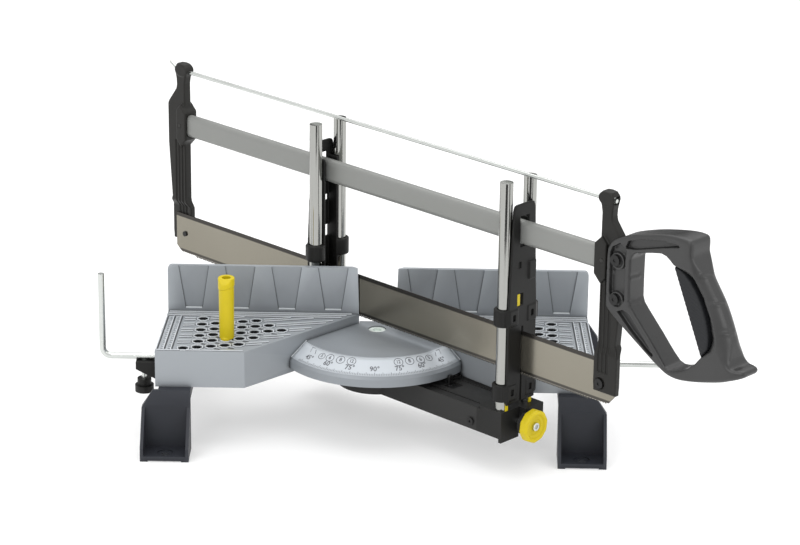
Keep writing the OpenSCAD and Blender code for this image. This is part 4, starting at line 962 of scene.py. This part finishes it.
def rulers(t, g):
    """Two ruler strips along the outer edge, between three long lines."""
    y0, y1 = RULER_BACK, RULER_FRONT
    # Each long line and each mark is a ridge with a dark strip of painted shade beside it
    for off in (1.9, 8.4, 15.2):
        x0, x1 = outer_edge(y0) - off, outer_edge(y1) - off
        g.bar((x0, y0), (x1, y1), 1.3, TABLE_Z, SHADE_H)
        t.bar((x0 + 1.2, y0), (x1 + 1.2, y1), 0.9, TABLE_Z, RIDGE_H, taper=0.1)
    marks, pitch = 34, 2.5
    for k in range(marks):
        y = y0 - 1.2 - pitch * k
        ln = 4.4 if k % 4 == 0 else 1.9
        for off in (2.9, 9.4):
            x = outer_edge(y) - off
            t.bar((x, y), (x - ln, y), 0.7, TABLE_Z, 0.5, taper=0.1)
            g.bar((x, y - 1.1), (x - ln, y - 1.1), 0.9, TABLE_Z, SHADE_H)


def ruler_figures(side, tag):
    """Small raised figures between the ruler marks, coloured light as painted highlight."""
    k = 0
    for off, first in ((6.0, 1), (12.6, 0)):
        for n in range(8):
            y = RULER_BACK - 5.4 - 10 * n
            at = (side * (outer_edge(y) - off), y, TABLE_Z)
            words(str(n + first), at, 4.2, ALLOY_LIT, f"{tag}_ruler_{k}", 0.5)
            k += 1


def fence_trim(side, tag):
    """Dark lines of painted shade along the edges of the fence's grooves, and a ledge at the bottom of each,
    made bright as painted highlight.
    """
    edges, ledges = Trim(side), Trim(side)
    z0, z1, w = 98.8, 140.5, 0.25
    for k in range(GROOVES):
        x = GROOVE_X + GROOVE_PITCH * k
        for s in (-1, 1):
            low, high = x + s * 7.75, x + s * 14.05
            pts = [(low, z0), (high, z1), (high + s * w, z1), (low + s * w, z0)]
            edges.put([(px, FENCE_Y, z) for px, z in pts] + [(px, 15.4, z) for px, z in pts], BOX_FACES)
        x0, x1, back = x - 7.6, x + 7.6, 15.8
        ledges.put([(x0, back, 98.4), (x1, back, 98.4), (x1, FENCE_Y, 98.3), (x0, FENCE_Y, 98.3),
                    (x0, back, 99.5), (x1, back, 99.5), (x1, FENCE_Y, 99.2), (x0, FENCE_Y, 99.2)], BOX_FACES)
    edges.done(tag + "_fence_shade_lines", ALLOY_SHADE)
    ledges.done(tag + "_fence_ledges", FENCE_LEDGE_LIT)


def table_trim(side, tag):
    """Cast ridges that stand on a table, coloured light as painted highlight with strips of painted shade
    beside them, its rulers, near-black walls of painted shade in its holes, and its fence's lines of painted
    shade and lit ledges.
    """
    t, g, shade_walls = Trim(side), Trim(side), Trim(side)
    hole_trim(t, g, shade_walls, side)
    # Ridges along the foot of the fence
    for y in (13.9, 9.3, 4.6):
        ridge(t, g, (196.2, y), (17.4 + (15 - y) + 6, y), 1.3, 1.6)
    row_ridges(t, g)
    hole_links(t, g)
    rulers(t, g)
    ridge(t, g, (outer_edge(-85.2) - 1.2, FRONT_Y), (120.5, FRONT_Y), 0.8, 0.9)
    t.done(tag + "_table_ridges", ALLOY_LIT)
    g.done(tag + "_table_painted_shade", ALLOY_SHADE)
    shade_walls.done(tag + "_hole_shade_walls", HOLE_SHADE)
    fence_trim(side, tag)
    ruler_figures(side, tag)


def clip_piece():
    """A spring clip at the foot of each post, with two upright tabs."""
    c = Trim()
    for s, z in zip(POST_S, (60.9, 57.8)):
        for t in (-POST_T, POST_T):
            at = (s * US.x + t * VS.x, s * US.y + t * VS.y)
            for a0, a1 in ((-62, -34), (118, 146)):
                c.ring(at, 6.05, 7.1, z - 0.1, 7.6, n=8, a0=math.radians(a0), a1=math.radians(a1), taper=0.03)
    c.done("post_clips", YELLOW, "arm", "yellow_plastic", "post_stops")


def boss_piece():
    """The dark boss on the front cap that carries the knob."""
    n, bore = 40, 3.2
    profile = ((187.6, bore), (187.6, 11.0), (192.4, 10.4), (193.0, 9.8), (193.0, bore))
    v, f = [], []
    for s, r in profile:
        turns = [2 * math.pi * k / n for k in range(n)]
        v += [(s, r * math.cos(a), LOCK_Z + r * math.sin(a)) for a in turns]
    for j in range(len(profile)):
        for k in range(n):
            a, b = j * n, ((j + 1) % len(profile)) * n
            f.append((a + k, a + (k + 1) % n, b + (k + 1) % n, b + k))
    new_piece("knob_boss", to_row(v), f, PLASTIC, "arm", smooth=False)


def shoe_piece():
    """The lock's shoe: a block inside the beam with a slim tongue against the dial's rim."""
    step = 0.5
    lo, hi = (92.2, -8.1, 42.8), (106.3, 8.1, 69.2)
    S, T, Z = lattice(lo, hi, step)
    block = slab(box2(S - 99.1, 5.8, Z - 50.2, 6.3), T, 6.8, 0.6)
    tongue = slab(box2(S - 94.5, 1.2, Z - 60.0, 6.4), T, 2.4, 0.6)
    f = join_soft(block, tongue, 0.8)
    f = np.maximum(f, 3.05 - np.hypot(T, Z - LOCK_Z))
    v, q = nets(f, lo, step)
    new_piece("lock_shoe_body", to_row(v), q, BLACK_OXIDE, "arm", "lock_shoe")


table_trim(-1, "left")
table_trim(1, "right")
clip_piece()
boss_piece()
shoe_piece()

# Dial: the sloping scale starts at the flat top's height, and falls from its inner to its outer radius
DIAL_TOP = 86.0
DIAL_R0, DIAL_R1, DIAL_FALL = 72.5, 91.3, 11.7
DIAL_SLOPE = math.atan2(DIAL_FALL, DIAL_R1 - DIAL_R0)
# Inner radii of the light band and of the borders at its ends, and the outer radius of both
BAND_R0, BORDER_R0, BAND_R1 = 73.3, 72.6, 90.9
# Figures and circles, on both sides of the middle: text, angle, radius, size and width
FIGURES = [
    ("75°", 15.9, 84.0, 7.6, 1.0), ("60°", 31.0, 84.1, 7.4, 1.0), ("45°", 46.6, 84.0, 7.0, 1.0),
    ("12", 16.0, 77.8, 5.4, 0.85), ("8", 23.9, 78.0, 5.8, 1.0), ("6", 32.0, 78.3, 5.6, 1.0),
    ("5", 38.6, 78.8, 4.8, 1.0),
]
CIRCLES = ((16.0, 77.9, 4.1), (23.9, 78.1, 4.1), (32.0, 78.4, 3.9), (38.6, 78.9, 3.3))


def on_dial(r, deg, lift=0.0):
    """A point on the dial's sloping scale, deg from the middle, lifted off the surface."""
    a = math.radians(deg)
    z = DIAL_TOP - (r - DIAL_R0) * math.tan(DIAL_SLOPE)
    rr = r + lift * math.sin(DIAL_SLOPE)
    return Vector((rr * math.sin(a), -rr * math.cos(a), z + lift * math.cos(DIAL_SLOPE)))


def dial_edge(r):
    """Angle at which a circle of radius r meets the side wall of a table."""
    k = 32.2
    y = k / 2 - math.sqrt(k * k / 4 - (k * k - r * r) / 2)
    return math.degrees(math.atan2(k - y, -y))


def on_slope(r, deg, points, lift, turn=0.0):
    """Points drawn flat, x to the right and y up the slope, laid on the scale."""
    a = math.radians(deg)
    flat, steep = math.cos(DIAL_SLOPE), math.sin(DIAL_SLOPE)
    side = Vector((math.cos(a), math.sin(a), 0))
    up = Vector((-math.sin(a) * flat, math.cos(a) * flat, steep))
    out = Vector((math.sin(a) * steep, -math.cos(a) * steep, flat))
    base = on_dial(r, deg)
    c, s = math.cos(turn), math.sin(turn)
    return [base + side * (x * c - y * s) + up * (x * s + y * c) + out * (lift + z) for x, y, z in points]


def dial_scale():
    """The lighter scale, a thin skin on the slope between the tables."""
    n, m = 64, 5
    v, f = [], []

    def skin(lift):
        for i in range(m + 1):
            r = BAND_R0 + (BAND_R1 - BAND_R0) * i / m
            e = dial_edge(r) - 1.1
            for k in range(n + 1):
                v.append(tuple(on_dial(r, -e + 2 * e * k / n, lift)))

    skin(0.12)
    for i in range(m):
        for k in range(n):
            a = i * (n + 1) + k
            f.append((a, a + n + 1, a + n + 2, a + 1))
    top = len(v)
    skin(-0.1)
    f += [tuple(top + q for q in reversed(x)) for x in f[:m * n]]
    rim = [k for k in range(n + 1)] + [i * (n + 1) + n for i in range(1, m + 1)]
    rim += [m * (n + 1) + k for k in range(n - 1, -1, -1)] + [i * (n + 1) for i in range(m - 1, 0, -1)]
    for a, b in zip(rim, rim[1:] + rim[:1]):
        f.append((a, b, top + b, top + a))
    new_piece("dial_scale", np.array(v) * MM, f, DIAL_BAND, "base")


def stroke(ink, r, deg, pts, w):
    """A printed line through flat points, w wide."""
    for (x0, y0), (x1, y1) in zip(pts, pts[1:]):
        d = math.hypot(x1 - x0, y1 - y0)
        nx, ny = -(y1 - y0) / d * w / 2, (x1 - x0) / d * w / 2
        q = [(x0 + nx, y0 + ny), (x0 - nx, y0 - ny), (x1 - nx, y1 - ny), (x1 + nx, y1 + ny)]
        low, high = (on_slope(r, deg, [(x, y, z) for x, y in q], 0.1) for z in (0, 0.07))
        ink.put([tuple(p) for p in low + high], BOX_FACES)


def dial_lines():
    """A mark for each degree, circles round the figures and two small strokes near each end."""
    ink = Trim()
    for k in range(-52, 53):
        stroke(ink, 90.2, k, [(0, 0), (0, 3.4 if k % 5 == 0 else 2.0)], 0.42)
    for s in (-1, 1):
        for a, r, rad in CIRCLES:
            n = 28
            turns = [2 * math.pi * i / n for i in range(n + 1)]
            stroke(ink, r, a * s, [(rad * math.cos(t), rad * math.sin(t)) for t in turns], 0.58)
        stroke(ink, 77.2, 45.5 * s, [(-1.2 * s, -2.6), (1.4 * s, 2.0)], 0.6)
        stroke(ink, 76.4, 50.0 * s, [(-0.6 * s, -3.2), (1.8 * s, 2.0), (-2.2 * s, 2.4)], 0.45)
    ink.done("dial_lines", DIAL_INK)


def dial_borders():
    """A raised border along both ends of the scale, coloured light as painted highlight."""
    n, outer, inner, high = 10, 0.35, 0.95, 0.8
    v, f = [], []
    for s in (-1, 1):
        a = len(v)
        for i in range(n + 1):
            r = BORDER_R0 + (BAND_R1 - BORDER_R0) * i / n
            for off, lift in ((inner, 0.0), (inner, high), (outer, high), (outer, 0.0)):
                v.append(tuple(on_dial(r, s * (dial_edge(r) - math.degrees(off / r)), lift)))
        for i in range(n):
            f += band_faces(a + 4 * i, a + 4 * i + 4)
        f += end_faces(a, a + 4 * n)
    new_piece("dial_borders", np.array(v) * MM, f, ALLOY_LIT, "base", smooth=False)


def dial_figures():
    marks = [("90°", 0, 84.0, 7.6, 1.0)]
    for s in (-1, 1):
        marks += [(text, deg * s, r, size, wide) for text, deg, r, size, wide in FIGURES]
    narrow = 0.88
    for k, (text, deg, r, size, wide) in enumerate(marks):
        o = words(text, (0, 0, 0), size, DIAL_INK, f"dial_figure_{k}", 0.12, bold=0.10)
        pts = [(q.co.x / MM * narrow * wide, q.co.y / MM, q.co.z / MM) for q in o.data.vertices]
        for q, p in zip(o.data.vertices, on_slope(r, deg, pts, 0.1)):
            q.co = p * MM
        o.data.update()


dial_scale()
dial_lines()
dial_borders()
dial_figures()


# Stage and light
def flat_stage(name, corners, mat):
    me = bpy.data.meshes.new(name)
    me.from_pydata(corners, [], [(0, 1, 2, 3)])
    me.materials.append(mat)
    o = bpy.data.objects.new(name, me)
    bpy.context.scene.collection.objects.link(o)
    return o


def make_floor():
    """A pale floor that shines a little by itself, so that only the object's shadow is grey."""
    m, nt, bsdf = nodes_of("floor")
    nt.links.new(span(nt, noise(nt, coords(nt), 3.0, 2.0), 0.55, 0.65), bsdf.inputs["Roughness"])
    bsdf.inputs["Base Color"].default_value = (0.62, 0.62, 0.62, 1)
    bsdf.inputs["Specular IOR Level"].default_value = 0.2
    bsdf.inputs["Emission Color"].default_value = (1, 1, 1, 1)
    bsdf.inputs["Emission Strength"].default_value = 0.38
    s = 14.0
    flat_stage("floor", [(-s, -s, 0), (s, -s, 0), (s, s, 0), (-s, s, 0)], m)


def make_cards():
    """Dark cards out of view, which only reflections see."""
    m, nt, bsdf = nodes_of("card")
    uneven = add(nt, "TexNoise", Scale=5.0)
    nt.links.new(span(nt, uneven.outputs["Fac"], 0.8, 1.0), bsdf.inputs["Roughness"])
    bsdf.inputs["Base Color"].default_value = (0.02, 0.02, 0.02, 1)
    z = 0.002
    low_card = [(-0.25, -2.6, z), (0.55, -2.6, z), (0.40, -0.72, z), (-0.10, -0.72, z)]
    far_card = [(-2.6, 3.4, 0.0), (2.6, 3.4, 0.0), (2.6, 3.4, 1.4), (-2.6, 3.4, 1.4)]
    for name, corners in (("low_card", low_card), ("far_card", far_card)):
        card = flat_stage(name, corners, m)
        card.visible_camera = False
        card.visible_diffuse = False
        card.visible_shadow = False


def lamp(name, at, aim, size, power):
    d = bpy.data.lights.new(name, "AREA")
    d.energy = power
    d.shape = "RECTANGLE"
    d.size = size
    d.size_y = size
    o = bpy.data.objects.new(name, d)
    o.location = at
    o.rotation_mode = "QUATERNION"
    o.rotation_quaternion = (Vector(aim) - Vector(at)).to_track_quat("-Z", "Y")
    bpy.context.scene.collection.objects.link(o)


def make_world():
    """A plain world, white where the camera and reflections see it."""
    world = bpy.data.worlds.new("world")
    bpy.context.scene.world = world
    world.use_nodes = True
    nt = world.node_tree
    nt.nodes.clear()
    soft = add(nt, "Background", Color=(1, 1, 1, 1), Strength=0.95)
    white = add(nt, "Background", Color=(1, 1, 1, 1), Strength=1.0)
    path = add(nt, "LightPath")
    seen = maths(nt, "MAXIMUM", path.outputs["Is Camera Ray"], path.outputs["Is Glossy Ray"])
    mix = add(nt, "MixShader")
    for k, src in enumerate((seen, soft.outputs[0], white.outputs[0])):
        nt.links.new(src, mix.inputs[k])
    nt.links.new(mix.outputs[0], add(nt, "OutputWorld").inputs[0])


make_floor()
make_cards()
lamp("key", (-1.5, -2.2, 2.2), (0, 0, 0.1), 1.8, 26)
lamp("fill", (2.4, -1.5, 1.3), (0, 0, 0.15), 1.6, 14)
lamp("top", (0.0, 0.5, 2.6), (0, 0, 0.1), 2.6, 36)
make_world()
bpy.context.scene.view_settings.view_transform = "Standard"
